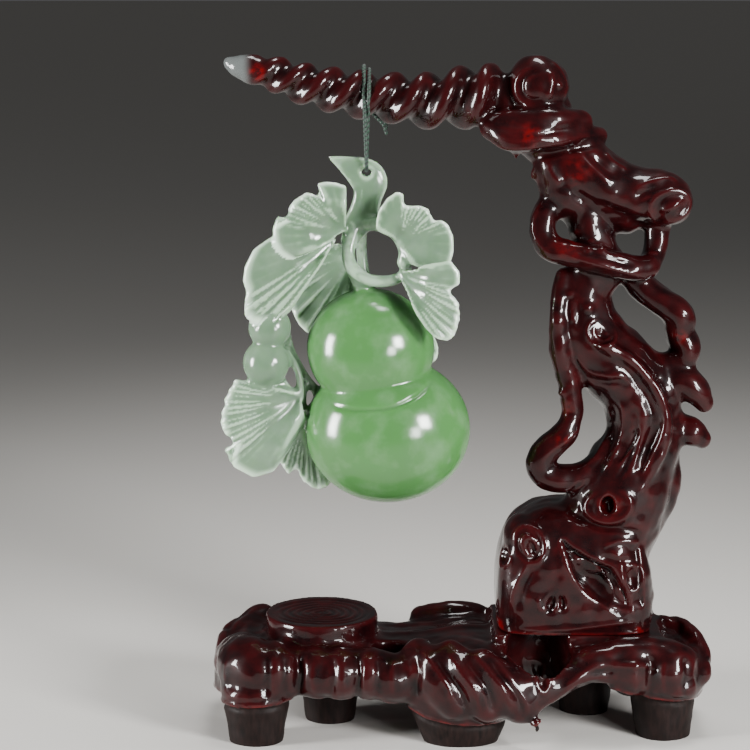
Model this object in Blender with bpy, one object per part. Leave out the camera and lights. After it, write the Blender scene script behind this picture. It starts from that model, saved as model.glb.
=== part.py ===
"""Jade gourd carving that hangs by a thread from a lacquered root-wood stand.

The stand is two carved pieces: a low base on stub feet with a round plaque, and an upright that
grows from a flat foot into a twisted arm. The carving is one piece of jade: a double gourd under
a vine, with fan-shaped leaves and a small gourd beside it. Metres, +Z up, +X to the viewer's
right, origin on the table under the middle of the stand.
"""

import math

import bmesh
import bpy
from mathutils import Matrix, Vector
from mathutils.bvhtree import BVHTree

# Base
BASE_LENGTH = 0.181
BASE_DEPTH = 0.078
PAD_TOP = 0.0363
PLAQUE_X = -0.050
PLAQUE_Y = 0.001
PLAQUE_RADIUS = 0.0205
PLAQUE_TOP = 0.0407
PLAQUE_THICKNESS = 0.0065
PLAQUE_FLARE = 1.14

# Upright
UPRIGHT_X = 0.045
UPRIGHT_Y = 0.006
UPRIGHT_HEIGHT = 0.2062
FOOT_LENGTH = 0.057
FOOT_DEPTH = 0.042
FOOT_OFFSET = -0.0025
ARM_CREST_SPACING = 0.0092
ARM_CREST_DEPTH = 0.40

# Carving
CARVING_HEIGHT = 0.1240
STALK_THICKNESS = 0.0056
HOLE_WIDTH = 0.0036
HOLE_HEIGHT = 0.0026

# Thread
CORD_DIAMETER = 0.0014
CORD_DROP = 0.0263
STRAND_SPACING = 0.0018
CORD_FROM_FOOT = 0.0786
KNOT_RADIUS = 0.0016

FIT_GAP = 0.0003
PAD_MARGIN = 0.0015
SEAT_CLEARANCE = 0.0012
PAD_THICKNESS = 0.014
CUT_SPAN = 0.2

# The carved forms are drawn on grids of one millimetre at real size, each about its own foot,
# centre or hole, and grow or shrink with the piece's own length, depth or height.
UPRIGHT_GRID = UPRIGHT_HEIGHT / 206.2
CARVING_GRID = CARVING_HEIGHT / 124.0
BASE_GRID = Vector((BASE_LENGTH / 181.0, BASE_DEPTH / 78.0, PAD_TOP / 36.3))

# Grain of the blanks and triangles of the finished pieces
UPRIGHT_GRAIN = 0.0011
BASE_GRAIN = 0.0012
CARVING_GRAIN = 0.0007
KNOT_GRAIN = 0.0003
UPRIGHT_TRIANGLES = 3060
BASE_TRIANGLES = 1820
CARVING_TRIANGLES = 2600
KNOT_TRIANGLES = 180


def clear_scene():
    """Removes the objects that a new file starts with."""
    for item in list(bpy.data.objects):
        bpy.data.objects.remove(item, do_unlink=True)


def finish_of(name, colour, roughness, metallic=0.0):
    """A plain material of the part's own colour."""
    material = bpy.data.materials.new(name)
    material.use_nodes = True
    shader = material.node_tree.nodes["Principled BSDF"]
    shader.inputs["Base Color"].default_value = (*colour, 1.0)
    shader.inputs["Roughness"].default_value = roughness
    shader.inputs["Metallic"].default_value = metallic
    return material


def smooth_route(stations, pieces=5):
    """Stations on a smooth curve through the given ones; each is a tuple of numbers."""
    route = []
    last = len(stations) - 1
    for index in range(last):
        before = Vector(stations[max(index - 1, 0)])
        start = Vector(stations[index])
        end = Vector(stations[index + 1])
        after = Vector(stations[min(index + 2, last)])
        for step in range(pieces):
            t = step / pieces
            pull = (end - before) * t + (before * 2 - start * 5 + end * 4 - after) * t * t
            bend = (start * 3 - before - end * 3 + after) * t ** 3
            route.append((start * 2 + pull + bend) / 2)
    route.append(Vector(stations[last]))
    return route


def even_route(points, spacing):
    """Points at about the same spacing on a smooth curve through the given ones."""
    fine = smooth_route(points, 24)
    lengths = [0.0]
    for first, second in zip(fine, fine[1:]):
        lengths.append(lengths[-1] + (second - first).length)
    count = max(2, round(lengths[-1] / spacing))
    route = []
    index = 0
    for step in range(count + 1):
        target = lengths[-1] * step / count
        while index < len(fine) - 2 and lengths[index + 1] < target:
            index += 1
        share = (target - lengths[index]) / (lengths[index + 1] - lengths[index])
        route.append(fine[index].lerp(fine[index + 1], share))
    return route


def add_ball(bm, centre, radii, roundness=3):
    """A ball or an egg with its own radius along each axis."""
    made = bmesh.ops.create_icosphere(bm, subdivisions=roundness, radius=1.0)
    bmesh.ops.scale(bm, vec=radii, verts=made["verts"])
    bmesh.ops.translate(bm, vec=centre, verts=made["verts"])
    return made["verts"]


def section_frame(tangent):
    """Two directions across a limb: one in the plane of the drawing, the other towards the viewer."""
    depth = Vector((0.0, 1.0, 0.0))
    if abs(tangent.dot(depth)) > 0.95:
        depth = Vector((1.0, 0.0, 0.0))
    across = tangent.cross(depth).normalized()
    return across, tangent.cross(across).normalized()


def add_loft(bm, rings):
    """A closed skin over rings of points, each with as many points as the first."""
    made = bmesh.ops.create_circle(bm, cap_ends=True, cap_tris=False, segments=len(rings[0]), radius=1.0)
    corners = made["verts"]
    cap = corners[0].link_faces[0]
    first_ring = list(corners)
    for index, ring in enumerate(rings):
        if index:
            grown = bmesh.ops.extrude_face_region(bm, geom=[cap])
            bmesh.ops.delete(bm, geom=[cap], context="FACES_ONLY")
            cap = next(item for item in grown["geom"] if isinstance(item, bmesh.types.BMFace))
            corners = [loop.vert for loop in cap.loops]
        for corner, point in zip(corners, ring):
            corner.co = point
    if not bm.faces.get(first_ring):
        bm.faces.new(reversed(first_ring))


def add_limb(bm, stations, flatness=1.0, sides=14, pieces=5, shape=None):
    """A root, stem or vine along a smooth route of (x, y, z, radius) stations with round ends.

    flatness scales its thickness front to back. shape, where given, scales the radius at an
    angle from the top and a distance along the route.
    """
    route = smooth_route(stations, pieces)
    points = [Vector(station[:3]) for station in route]
    rings = []
    distance = 0.0
    for index, point in enumerate(points):
        ahead = points[min(index + 1, len(points) - 1)]
        behind = points[max(index - 1, 0)]
        across, facing = section_frame((ahead - behind).normalized())
        if index:
            distance += (point - points[index - 1]).length
        ring = []
        for side in range(sides):
            angle = 2 * math.pi * side / sides
            reach = route[index][3] * (shape(angle, distance) if shape else 1.0)
            offset = (across * math.cos(angle) + facing * math.sin(angle)) * reach
            offset.y *= flatness
            ring.append(point + offset)
        rings.append(ring)
    add_loft(bm, rings)
    for end, share in ((0, 0.0), (-1, distance)):
        radius = route[end][3] * (shape(math.pi / 4, share) if shape else 1.0)
        add_ball(bm, points[end], (radius, radius * flatness, radius), 2)


def boxy(angle, boxiness):
    """Across and up, from -1 to 1, on a rounded box at an angle; a lower boxiness is squarer."""
    across, up = math.cos(angle), math.sin(angle)
    return (
        math.copysign(abs(across) ** boxiness, across),
        math.copysign(abs(up) ** boxiness, up),
    )


def largest_body(bm):
    """Deletes every loose crumb and closed pocket, and keeps the largest body."""
    unseen = set(bm.verts)
    bodies = []
    while unseen:
        seed = unseen.pop()
        body = [seed]
        for vertex in body:
            for edge in vertex.link_edges:
                other = edge.other_vert(vertex)
                if other in unseen:
                    unseen.discard(other)
                    body.append(other)
        bodies.append(body)
    bodies.sort(key=len)
    crumbs = [vertex for body in bodies[:-1] for vertex in body]
    bmesh.ops.delete(bm, geom=crumbs, context="VERTS")


def new_object(name, bm):
    """A named object from a bmesh, which is freed."""
    mesh = bpy.data.meshes.new(name)
    bm.to_mesh(mesh)
    bm.free()
    item = bpy.data.objects.new(name, mesh)
    bpy.context.scene.collection.objects.link(item)
    return item


def settle(item):
    """Puts what the object's modifiers make into its own mesh."""
    graph = bpy.context.evaluated_depsgraph_get()
    mesh = bpy.data.meshes.new_from_object(item.evaluated_get(graph))
    item.modifiers.clear()
    item.data = mesh


def edit(item, change):
    """Runs one change on the object's mesh."""
    bm = bmesh.new()
    bm.from_mesh(item.data)
    change(bm)
    bm.to_mesh(item.data)
    bm.free()


def pinches_of(mesh):
    """Places where the mesh's skin meets or crosses itself."""
    bm = bmesh.new()
    bm.from_mesh(mesh)
    bmesh.ops.triangulate(bm, faces=bm.faces)
    bm.faces.ensure_lookup_table()
    places = [vertex.co.copy() for vertex in bm.verts if not vertex.is_manifold]
    tree = BVHTree.FromBMesh(bm)
    for first, second in tree.overlap(tree):
        one, other = bm.faces[first], bm.faces[second]
        if first < second and not set(one.verts) & set(other.verts):
            places.append((one.calc_center_median() + other.calc_center_median()) / 2)
    bm.free()
    return places


def fuse(item, grain):
    """Joins the object's overlapping forms into one closed skin."""
    join = item.modifiers.new("join", "REMESH")
    join.mode = "VOXEL"
    join.voxel_size = grain
    join.use_smooth_shade = True
    settle(item)
    edit(item, largest_body)


def carve_blank(name, bm, grain, triangles, softness):
    """Fuses the overlapping forms into one closed piece of about the given count of triangles.

    Where the thinned skin would pinch itself, a little more is left there and it is made again.
    """
    item = new_object(name, bm)
    for attempt in range(6):
        fuse(item, grain)
        full = item.data
        item.data = full.copy()
        soften = item.modifiers.new("soften", "SMOOTH")
        soften.factor = 0.5
        soften.iterations = softness
        thin = item.modifiers.new("thin", "DECIMATE")
        thin.ratio = min(1.0, triangles / (2 * len(full.polygons)))
        settle(item)
        places = pinches_of(item.data)
        if not places:
            break
        bm = bmesh.new()
        bm.from_mesh(full)
        for place in places:
            add_ball(bm, place, [grain * 2] * 3, 2)
        item.data = full
        bm.to_mesh(full)
        bm.free()
    return item


def cut_away(item, cutters):
    """Cuts the closed forms in the cutters' bmesh out of the object."""
    tool = new_object(item.name + "_cutter", cutters)
    tool.hide_render = True
    tool.display_type = "WIRE"
    cut = item.modifiers.new("cut", "BOOLEAN")
    cut.operation = "DIFFERENCE"
    cut.solver = "EXACT"
    cut.object = tool
    settle(item)
    bpy.data.objects.remove(tool, do_unlink=True)
    edit(item, tidy_faces)


def tidy_faces(bm):
    """Welds what a cut left doubled and makes every face a triangle."""
    bmesh.ops.remove_doubles(bm, verts=bm.verts, dist=0.000002)
    largest_body(bm)
    bmesh.ops.triangulate(bm, faces=bm.faces)


def box_between(bm, low, high):
    """A box from its lowest to its highest corner."""
    size = [top - bottom for bottom, top in zip(low, high)]
    middle = [(top + bottom) / 2 for bottom, top in zip(low, high)]
    place = Matrix.Translation(middle) @ Matrix.Diagonal((*size, 1.0))
    return bmesh.ops.create_cube(bm, size=1.0, matrix=place)["verts"]


def add_prism(bm, centre, radii, bottom, top, sides=32, taper=1.0, round_over=0.0):
    """An upright round or oval block, with its rim rounded over where asked."""
    place = Matrix.Translation((centre[0], centre[1], (bottom + top) / 2))
    made = bmesh.ops.create_cone(
        bm, cap_ends=True, segments=sides, radius1=1.0, radius2=taper, depth=top - bottom, matrix=place
    )
    for vertex in made["verts"]:
        vertex.co.x = centre[0] + (vertex.co.x - centre[0]) * radii[0]
        vertex.co.y = centre[1] + (vertex.co.y - centre[1]) * radii[1]
    if round_over:
        rim = {edge for vertex in made["verts"] for edge in vertex.link_edges}
        rim = [edge for edge in rim if abs(edge.verts[0].co.z - edge.verts[1].co.z) < 1e-6]
        bmesh.ops.bevel(
            bm, geom=rim, offset=round_over, offset_type="OFFSET", segments=4, profile=0.5,
            affect="EDGES", material=-1
        )


def upright_point(x, y, z, radius=0.0):
    """A station of the upright's drawing, in metres."""
    grid = UPRIGHT_GRID
    return (UPRIGHT_X + x * grid, UPRIGHT_Y + y * grid, PAD_TOP + z * grid, radius * grid)


def carving_point(x, y, z, radius=0.0):
    """A station of the carving's drawing, counted from the middle of its hole, in metres."""
    grid = CARVING_GRID
    hole = hole_centre()
    return (hole.x + x * grid, hole.y + y * grid, hole.z + z * grid, radius * grid)


def base_point(x, y, z, radius=0.0):
    """A station of the base's drawing, in metres."""
    return (x * BASE_GRID.x, y * BASE_GRID.y, z * BASE_GRID.z, radius * BASE_GRID.x)


# Upright: each limb is a short list of (x, y, z, radius) stations from the foot's centre
ARM = [
    (-126.9, 0, 203.0, 2.5), (-123.1, 0, 201.6, 4.7), (-111.8, 0, 199.2, 6.8), (-102.0, 0, 196.0, 7.9),
    (-92.9, 0, 193.9, 8.6), (-83.0, 0, 192.2, 9.2), (-72.8, 0, 191.1, 9.5), (-60.4, 0, 189.7, 10.4),
    (-47.8, 0, 190.4, 11.5), (-37.0, 0, 192.0, 12.2), (-30.0, 0, 193.5, 9.5),
]
NECK = [
    (-18.2, 0, 195.3, 7.2), (-13.2, 0, 185.5, 7.2), (-10.2, 0, 176.3, 9.4), (-5.9, 0, 168.5, 11.5),
    (4.2, 0, 160.7, 11.5), (14.2, 0, 156.7, 10.8), (24.6, -3, 156.4, 9.4), (28.8, -4, 154.6, 8.6),
]
THROAT = [(-27.0, 2, 189.0, 9.0), (-23.0, 1, 181.0, 8.5), (-14.0, 1, 175.0, 9.5)]
COLLAR = [
    (-35.0, -8, 180.5, 4.2), (-27.5, -13, 178.0, 5.0), (-15.5, -12, 178.4, 4.9), (-5.0, -5, 178.8, 4.6),
    (3.6, 3, 176.8, 3.4),
]
PLATE = [(-34.0, -7, 183.0, 3.4), (-25.0, -11, 183.5, 4.4), (-14.0, -11, 184.0, 4.6), (-3.0, -4, 183.0, 4.0)]
SHOULDER = [(-11.5, -2, 167.0, 8.6), (-7.2, -1, 156.5, 8.6), (1.0, 2, 152.0, 8.5), (14.0, 2, 151.0, 8.5)]
BELT = [
    (-12.5, -2, 154.5, 5.2), (-16.3, -6, 147.2, 4.9), (-14.9, -8, 140.0, 4.9), (-7.6, -10, 137.0, 4.9),
    (5.4, -12, 133.9, 4.9), (19.0, -8, 131.0, 4.6), (23.4, -2, 134.6, 4.2), (24.9, 0, 143.2, 4.8),
    (25.0, 0, 150.7, 6.4),
]
WEB = [(-1.0, 1, 156.0, 8.4), (0.2, 0, 147.0, 7.8), (2.4, -1, 139.0, 7.8), (4.7, 0, 130.0, 8.4)]
STEM = [
    (4.7, 0, 131.0, 9.4), (-0.9, 0, 122.0, 10.2), (-0.9, 0, 111.1, 11.9), (3.6, 0, 103.0, 12.8),
    (10.5, 0, 95.4, 14.0), (18.2, 0, 87.0, 13.8), (21.6, 0, 76.0, 13.8), (20.8, 0, 66.0, 14.2),
    (17.0, 0, 56.0, 16.4), (12.6, 0, 45.0, 18.6), (8.0, 0, 33.0, 18.4), (4.0, 0, 22.0, 18.0),
]
TENDRIL = [
    (-8.6, -4, 128.0, 3.2), (-10.6, -8, 116.0, 3.2), (-10.0, -8, 103.4, 3.8), (-7.4, -6, 93.3, 4.2),
    (-5.6, -6, 84.9, 4.2), (-4.9, -6, 77.6, 4.3), (-8.4, -8, 70.8, 5.0), (-14.4, -8, 64.9, 5.2),
    (-16.3, -8, 58.8, 5.2), (-11.0, -8, 54.6, 5.2), (0.6, -6, 55.6, 6.0), (10.9, -4, 62.4, 6.0),
]
LONG_RIDGE = [
    (5.0, -13, 104.5, 2.2), (18.3, -12, 96.0, 2.3), (26.0, -12, 84.6, 2.5), (28.4, -12, 75.8, 2.5),
    (26.4, -13, 66.0, 2.5), (19.4, -14, 52.0, 2.2),
]
CHAIN = [
    (18.0, 2, 125.0, 5.2), (26.0, 0, 118.6, 5.4), (33.2, -2, 113.6, 5.8), (33.6, 0, 107.0, 5.4),
    (36.4, 0, 100.8, 5.6), (33.6, 0, 95.6, 4.6), (24.0, 0, 95.4, 4.0),
]
UPPER_HORN = [(28.5, 0, 91.5, 5.8), (36.2, -2, 88.9, 6.4), (40.6, -3, 84.8, 5.2), (42.9, -3, 81.6, 3.4)]
LOWER_HORN = [(31.2, 2, 71.6, 5.0), (37.8, 0, 70.6, 5.6), (42.4, 0, 67.6, 3.6)]
SIDE_LOBE = [(29.3, 4, 66.2, 5.0), (29.9, 3, 53.4, 6.0), (26.9, 2, 43.4, 6.6), (19.4, 0, 33.4, 7.0)]
BALL = (-18.4, -3, 195.3, 10.9)
BLOCK = [
    (-6.0, -0.96, 0.93, -1.0, 1.0), (0.0, -1.0, 0.94, -1.0, 1.0), (9.0, -1.03, 0.96, -1.0, 1.0),
    (20.0, -1.02, 0.95, -0.99, 1.0), (28.0, -0.97, 0.86, -0.95, 0.98), (35.0, -0.88, 0.8, -0.86, 0.94),
    (40.0, -0.72, 0.72, -0.7, 0.86), (43.5, -0.5, 0.6, -0.45, 0.7), (45.0, -0.22, 0.4, -0.15, 0.4),
]
BLOCK_LUMPS = [(-21.0, -6, 33.0, 8.6), (-24.0, -9, 19.0, 7.0), (-8.0, -1, 34.0, 11.0), (18.0, -7, 12.0, 7.6)]
HOLLOWS = {
    "eye": ((7.8, -21.6, 46.8), (6.8, 5.0, 5.2), 0),
    "pupil": ((7.6, -17.5, 47.0), (2.8, 7.0, 3.4), 0),
    "left curl": ((-19.5, -23.0, 31.5), (3.2, 6.0, 6.2), -16),
    "edge curl": ((-30.5, -13.0, 27.5), (4.0, 4.5, 3.4), 0),
    "right cup": ((16.0, -23.0, 21.0), (3.6, 5.5, 6.8), -8),
    "long face": ((1.2, -27.5, 19.6), (7.0, 9.4, 17.0), -38),
    "left drop": ((-12.6, -21.0, 11.5), (1.5, 2.6, 3.2), 12),
    "right drop": ((-8.6, -21.0, 12.0), (1.4, 2.6, 2.8), -12),
    "knot": ((4.7, -14.5, 108.4), (3.4, 4.6, 4.2), -20),
}
ARM_FIRST_CREST = 17.0


def arm_crests(distance):
    """How many crests of the twist lie within a distance from the arm's tip."""
    spacing = ARM_CREST_SPACING
    growth = spacing * 0.033
    run = distance - ARM_FIRST_CREST * UPRIGHT_GRID
    if run <= 0:
        return run / spacing
    return (math.sqrt(spacing * spacing + 4 * growth * run) - spacing) / (2 * growth)


def arm_twist(angle, distance):
    """Share of the arm's radius at an angle from the top: two crests wind about it as on a drill."""
    fade = min(1.0, distance / (ARM_FIRST_CREST * UPRIGHT_GRID))
    wave = math.sin(angle + math.pi * arm_crests(distance))
    return 1.0 - ARM_CREST_DEPTH * fade * abs(wave) ** 2.5


def arm_section_at(x):
    """Centre, radius and distance from the tip where the arm crosses the given place along X."""
    route = smooth_route([upright_point(*station) for station in ARM], 24)
    distance = 0.0
    for first, second in zip(route, route[1:]):
        if second.x >= x:
            share = (x - first.x) / (second.x - first.x)
            here = first.lerp(second, share)
            return Vector(here[:3]), here[3], distance + (here - first).length
        distance += (Vector(second[:3]) - Vector(first[:3])).length
    return Vector(route[-1][:3]), route[-1][3], distance


def hole_centre():
    """Middle of the carving's hole, under the thread where it leaves the arm's front."""
    arm, radius, distance = arm_section_at(UPRIGHT_X - CORD_FROM_FOOT)
    front = radius * arm_twist(math.pi / 2, distance) + CORD_DIAMETER / 2 + FIT_GAP
    return Vector((arm.x, arm.y - front, arm.z - CORD_DROP))


def add_block(bm):
    """The block foot, lofted upwards; its sides are shares of half the foot's length and depth."""
    sides = 32
    rings = []
    for z, left, right, front, back in smooth_route(BLOCK, 4):
        ring = []
        for side in range(sides):
            across, away = boxy(2 * math.pi * side / sides, 0.42)
            x = ((left + right) / 2 + across * (right - left) / 2) * FOOT_LENGTH / 2
            y = ((front + back) / 2 + away * (back - front) / 2) * FOOT_DEPTH / 2
            ring.append((UPRIGHT_X + FOOT_OFFSET + x, UPRIGHT_Y + y, PAD_TOP + z * UPRIGHT_GRID))
        rings.append(ring)
    add_loft(bm, rings)


def make_upright(wood):
    """The carved upright with its foot, knots, twisted arm and ball."""
    bm = bmesh.new()
    limbs = [
        (NECK, 1.0), (THROAT, 1.0), (COLLAR, 1.0), (PLATE, 1.0), (SHOULDER, 1.0), (BELT, 1.0),
        (WEB, 1.0), (STEM, 0.95), (TENDRIL, 1.0), (LONG_RIDGE, 1.0), (CHAIN, 1.2), (UPPER_HORN, 1.0),
        (LOWER_HORN, 1.0), (SIDE_LOBE, 1.1),
    ]
    for stations, flatness in limbs:
        add_limb(bm, [upright_point(*station) for station in stations], flatness)
    add_limb(bm, [upright_point(*station) for station in ARM], 1.0, 24, 8, arm_twist)
    x, y, z, radius = upright_point(*BALL)
    add_ball(bm, (x, y, z), (radius, radius, radius))
    for lump in BLOCK_LUMPS:
        x, y, z, radius = upright_point(*lump)
        add_ball(bm, (x, y, z), (radius, radius * 1.5, radius))
    add_block(bm)
    item = carve_blank("root_upright", bm, UPRIGHT_GRAIN, UPRIGHT_TRIANGLES, 4)
    cutters = bmesh.new()
    box_between(cutters, (-CUT_SPAN, -CUT_SPAN, -CUT_SPAN), (CUT_SPAN, CUT_SPAN, PAD_TOP + FIT_GAP))
    cut_away(item, cutters)
    for place, radii, tilt in HOLLOWS.values():
        gouge = bmesh.new()
        add_ball(gouge, (0.0, 0.0, 0.0), [radius * UPRIGHT_GRID for radius in radii], 2)
        turn = Matrix.Rotation(math.radians(tilt), 4, "Y")
        bmesh.ops.transform(gouge, matrix=turn, verts=gouge.verts)
        bmesh.ops.translate(gouge, vec=upright_point(*place)[:3], verts=gouge.verts)
        cut_away(item, gouge)
    clear_cord(item)
    item.data.materials.append(wood)
    return item


# Base: stations from left to right, each (x, front edge at the top, front edge at the bottom,
# back edge, bottom, top)
BODY = [
    (-89, -2, -12, 20, 14, 25), (-82, -7, -29, 28, 14.5, 31), (-70, -13, -32, 32, 15, 33),
    (-60, -20, -32, 33, 15.5, 33), (-48, -26, -32, 32, 16, 33), (-35, -23, -32, 28, 16, 33),
    (-24, -20, -32, 27, 14.5, 32), (-12, -21, -35, 30, 10, 33), (0, -31, -37, 35, 8.5, 34),
    (13, -38, -39, 38, 8.5, 33), (24, -36, -38, 38, 9, 32), (33, -32, -36, 36, 14, 32),
    (45, -28, -34, 37, 21, 33), (56, -24, -32, 36, 19.5, 34), (67, -20, -32, 34, 16, 34),
    (78, -24, -33, 30, 15, 33), (85, -18, -26, 22, 15, 30), (89, -6, -12, 12, 17, 27),
]
FEET = [
    (-73, -22, 9.0, 8.0, 1.4), (0, -22, 12.0, 8.0, 1.75), (73, -15, 9.2, 8.5, 1.35), (-47, 3, 8.5, 8.0, 1.4),
    (47, 13, 8.5, 8.0, 1.4), (2, 27, 9.0, 8.0, 1.4),
]
FOOT_TOP = 20.0
FOOT_SPARE = 0.004
SKIRT_LOBES = [
    [(-79, -8, 25.5, 10.0), (-76, -18, 26, 11.2), (-72, -21.5, 26, 11.3), (-69, -21.5, 26, 10.1),
     (-66, -21.5, 26, 10.9), (-63, -20, 26, 9.6)],
    [(-55, -19, 25.5, 8.6), (-51, -22, 25, 9.8), (-46.5, -22.5, 25, 8.8), (-42, -23.5, 25, 9.9),
     (-37.3, -22.5, 25, 8.4), (-33, -23.5, 25, 9.8), (-29.5, -22.5, 24.5, 8.8), (-24, -23.5, 23, 9.4)],
    [(-15, -20, 30, 7.0), (-9, -28, 26, 8.4), (-2, -31, 17, 7.2)],
    [(-4, -25, 31, 7.0), (3, -31, 26, 8.0), (9, -32, 16.5, 7.2)],
    [(7, -30, 30, 6.5), (14, -32, 24, 7.5), (21, -32, 16.5, 7.2)],
    [(46, -25, 30, 5.5), (58, -22, 31, 6.5), (67, -21, 31, 6.5), (77, -20, 29, 6.5), (83, -14, 26, 5.5)],
    [(59, -20, 29, 8.5), (60, -21, 26, 10.0), (60, -22, 25.5, 9.0)],
    [(73, -18, 28, 8.5), (74, -20, 26, 10.5), (74, -21, 25, 9.6)],
    [(81, -13, 26, 6.0), (82, -16, 24, 6.8), (82, -16, 23, 6.0)],
]
BACK_LOBE = [(-13, 27, 30.5, 5.0), (-4, 26, 33.0, 4.6), (5, 27, 32.5, 4.6), (10, 29, 29.5, 4.5)]
LEFT_SHOULDER = [(-83, -2, 26, 5.0), (-83, 10, 28, 5.5), (-73, 25, 31, 6.0)]
RIGHT_CURL = [(66, 12, 31, 5.0), (78, 8, 34, 3.8), (84, 0, 33, 3.5), (87, -10, 29, 3.5), (87, -18, 23, 3.5)]
SMALL_HOLE = (-25.5, -13.0, 6.5, 7.0)
BIG_HOLE = (28.0, -18.5, 11.5, 14.5)


def add_base_body(bm):
    """The skirted body of the base, lofted from left to right."""
    sides = 28
    rings = []
    for x, front_top, front_bottom, back, bottom, top in smooth_route(BODY, 4):
        ring = []
        for side in range(sides):
            reach, level = boxy(2 * math.pi * side / sides, 0.6)
            front = front_bottom + (front_top - front_bottom) * (level + 1) / 2
            y = (front + back) / 2 + reach * (back - front) / 2
            z = (bottom + top) / 2 + level * (top - bottom) / 2
            ring.append(base_point(x, y, z)[:3])
        rings.append(ring)
    add_loft(bm, rings)


def make_base(wood):
    """The carved base with its plaque, pad, skirt and feet."""
    bm = bmesh.new()
    add_base_body(bm)
    for x, y, length, depth, taper in FEET:
        place = base_point(x, y, 0)
        top = base_point(0, 0, FOOT_TOP)[2]
        radii = (length * BASE_GRID.x, depth * BASE_GRID.y)
        add_prism(bm, place, radii, -FOOT_SPARE, top, 24, taper)
    for stations in SKIRT_LOBES + [BACK_LOBE, LEFT_SHOULDER, RIGHT_CURL]:
        add_limb(bm, [base_point(*station) for station in stations])
    neck = PLAQUE_RADIUS * PLAQUE_FLARE
    low = PAD_TOP - PAD_THICKNESS
    add_prism(bm, (PLAQUE_X, PLAQUE_Y), (neck, neck), low, PLAQUE_TOP - PLAQUE_THICKNESS / 2, 40, 0.82)
    rim = (PLAQUE_RADIUS, PLAQUE_RADIUS)
    add_prism(
        bm, (PLAQUE_X, PLAQUE_Y), rim, PLAQUE_TOP - PLAQUE_THICKNESS, PLAQUE_TOP + SEAT_CLEARANCE, 40, 1.0,
        0.0015
    )
    foot_x = UPRIGHT_X + FOOT_OFFSET
    pad_x = FOOT_LENGTH / 2 + PAD_MARGIN
    pad_low = (foot_x - pad_x, UPRIGHT_Y - FOOT_DEPTH / 2, PAD_TOP - PAD_THICKNESS)
    pad_high = (foot_x + pad_x, UPRIGHT_Y + FOOT_DEPTH / 2, PAD_TOP + SEAT_CLEARANCE)
    box_between(bm, pad_low, pad_high)
    item = carve_blank("root_base", bm, BASE_GRAIN, BASE_TRIANGLES, 3)
    floor = bmesh.new()
    box_between(floor, (-CUT_SPAN, -CUT_SPAN, -CUT_SPAN), (CUT_SPAN, CUT_SPAN, 0.0))
    cut_away(item, floor)
    cutters = bmesh.new()
    room_x = pad_x + SEAT_CLEARANCE
    room_y = FOOT_DEPTH / 2 + PAD_MARGIN + SEAT_CLEARANCE
    low = (foot_x - room_x, UPRIGHT_Y - room_y, PAD_TOP)
    high = (foot_x + room_x, UPRIGHT_Y + room_y, PAD_TOP + CUT_SPAN)
    box_between(cutters, low, high)
    room = PLAQUE_RADIUS + SEAT_CLEARANCE
    add_prism(cutters, (PLAQUE_X, PLAQUE_Y), (room, room), PLAQUE_TOP, PLAQUE_TOP + CUT_SPAN, 24)
    cut_away(item, cutters)
    holes = bmesh.new()
    for x, y, length, depth in (SMALL_HOLE, BIG_HOLE):
        place = base_point(x, y, 0)
        radii = (length * BASE_GRID.x, depth * BASE_GRID.y)
        add_prism(holes, place, radii, -CUT_SPAN, CUT_SPAN, 16)
    cut_away(item, holes)
    item.data.materials.append(wood)
    return item


# Carving: stations from the middle of the hole
LOWER_BULB = (7.5, 0, -92.4)
LOWER_BULB_RADII = (29.6, 25.0, 26.3)
UPPER_BULB = (1.4, -1, -62.7)
UPPER_BULB_RADII = (22.7, 20.0, 21.5)
SMALL_UPPER = (-34.3, -3, -54.9, 7.6)
SMALL_LOWER = (-35.6, -4, -67.4, 8.3)
STALK = [
    (-13.4, 0, 5.6, 0.9), (-7.7, 0, 2.8, 3.3), (-1.8, 0, -0.4, 6.1), (1.1, 0, -3.5, 6.5), (0.4, 0, -9.1, 5.2),
    (-1.2, 0, -14.5, 5.2), (-3.9, 0, -19.5, 4.9), (-6.0, 0, -24.0, 3.4),
]
VINES = [
    [(-4.3, 0, -19.1, 3.4), (-6.4, -3, -27.5, 2.5), (-5.3, -5, -32.9, 2.5), (-0.4, -6, -36.9, 2.3),
     (6.0, -6, -37.9, 2.2), (11.7, -6, -36.5, 2.0), (14.5, -6, -33.3, 1.8)],
    [(-1.8, 0, -18.0, 3.2), (4.6, -3, -18.3, 2.5), (10.6, -5, -21.3, 2.5), (13.5, -6, -26.7, 2.5),
     (13.1, -7, -31.0, 2.5)],
    [(-5.3, -4, -33.0, 2.4), (-2.4, -3, -39.0, 2.8), (0.6, -1, -44.0, 4.0), (0.7, 0, -48.0, 7.0)],
    [(-1.5, 3, -18.0, 2.0), (-1.8, 6, -28.2, 2.0), (-0.8, 6, -38.0, 2.4), (0.5, 3, -46.0, 4.0)],
    [(-29.4, 0, -53.6, 2.0), (-27.3, 0, -61.9, 1.4), (-24.5, 0, -68.1, 1.4), (-21.0, 2, -74.7, 1.5),
     (-17.0, 4, -80.5, 2.0)],
    [(-28.3, -3, -63.9, 1.4), (-25.1, -2, -69.2, 1.4), (-23.7, -2, -74.3, 1.5), (-23.8, -2, -80.2, 1.6)],
    [(-31.0, -3, -73.4, 2.0), (-28.0, -3, -77.1, 1.6), (-24.1, -2, -79.5, 1.6)],
    [(-21.0, 2, -74.7, 1.4), (-22.6, 1, -79.0, 1.5), (-23.1, 0, -84.0, 1.6)],
]
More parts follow.
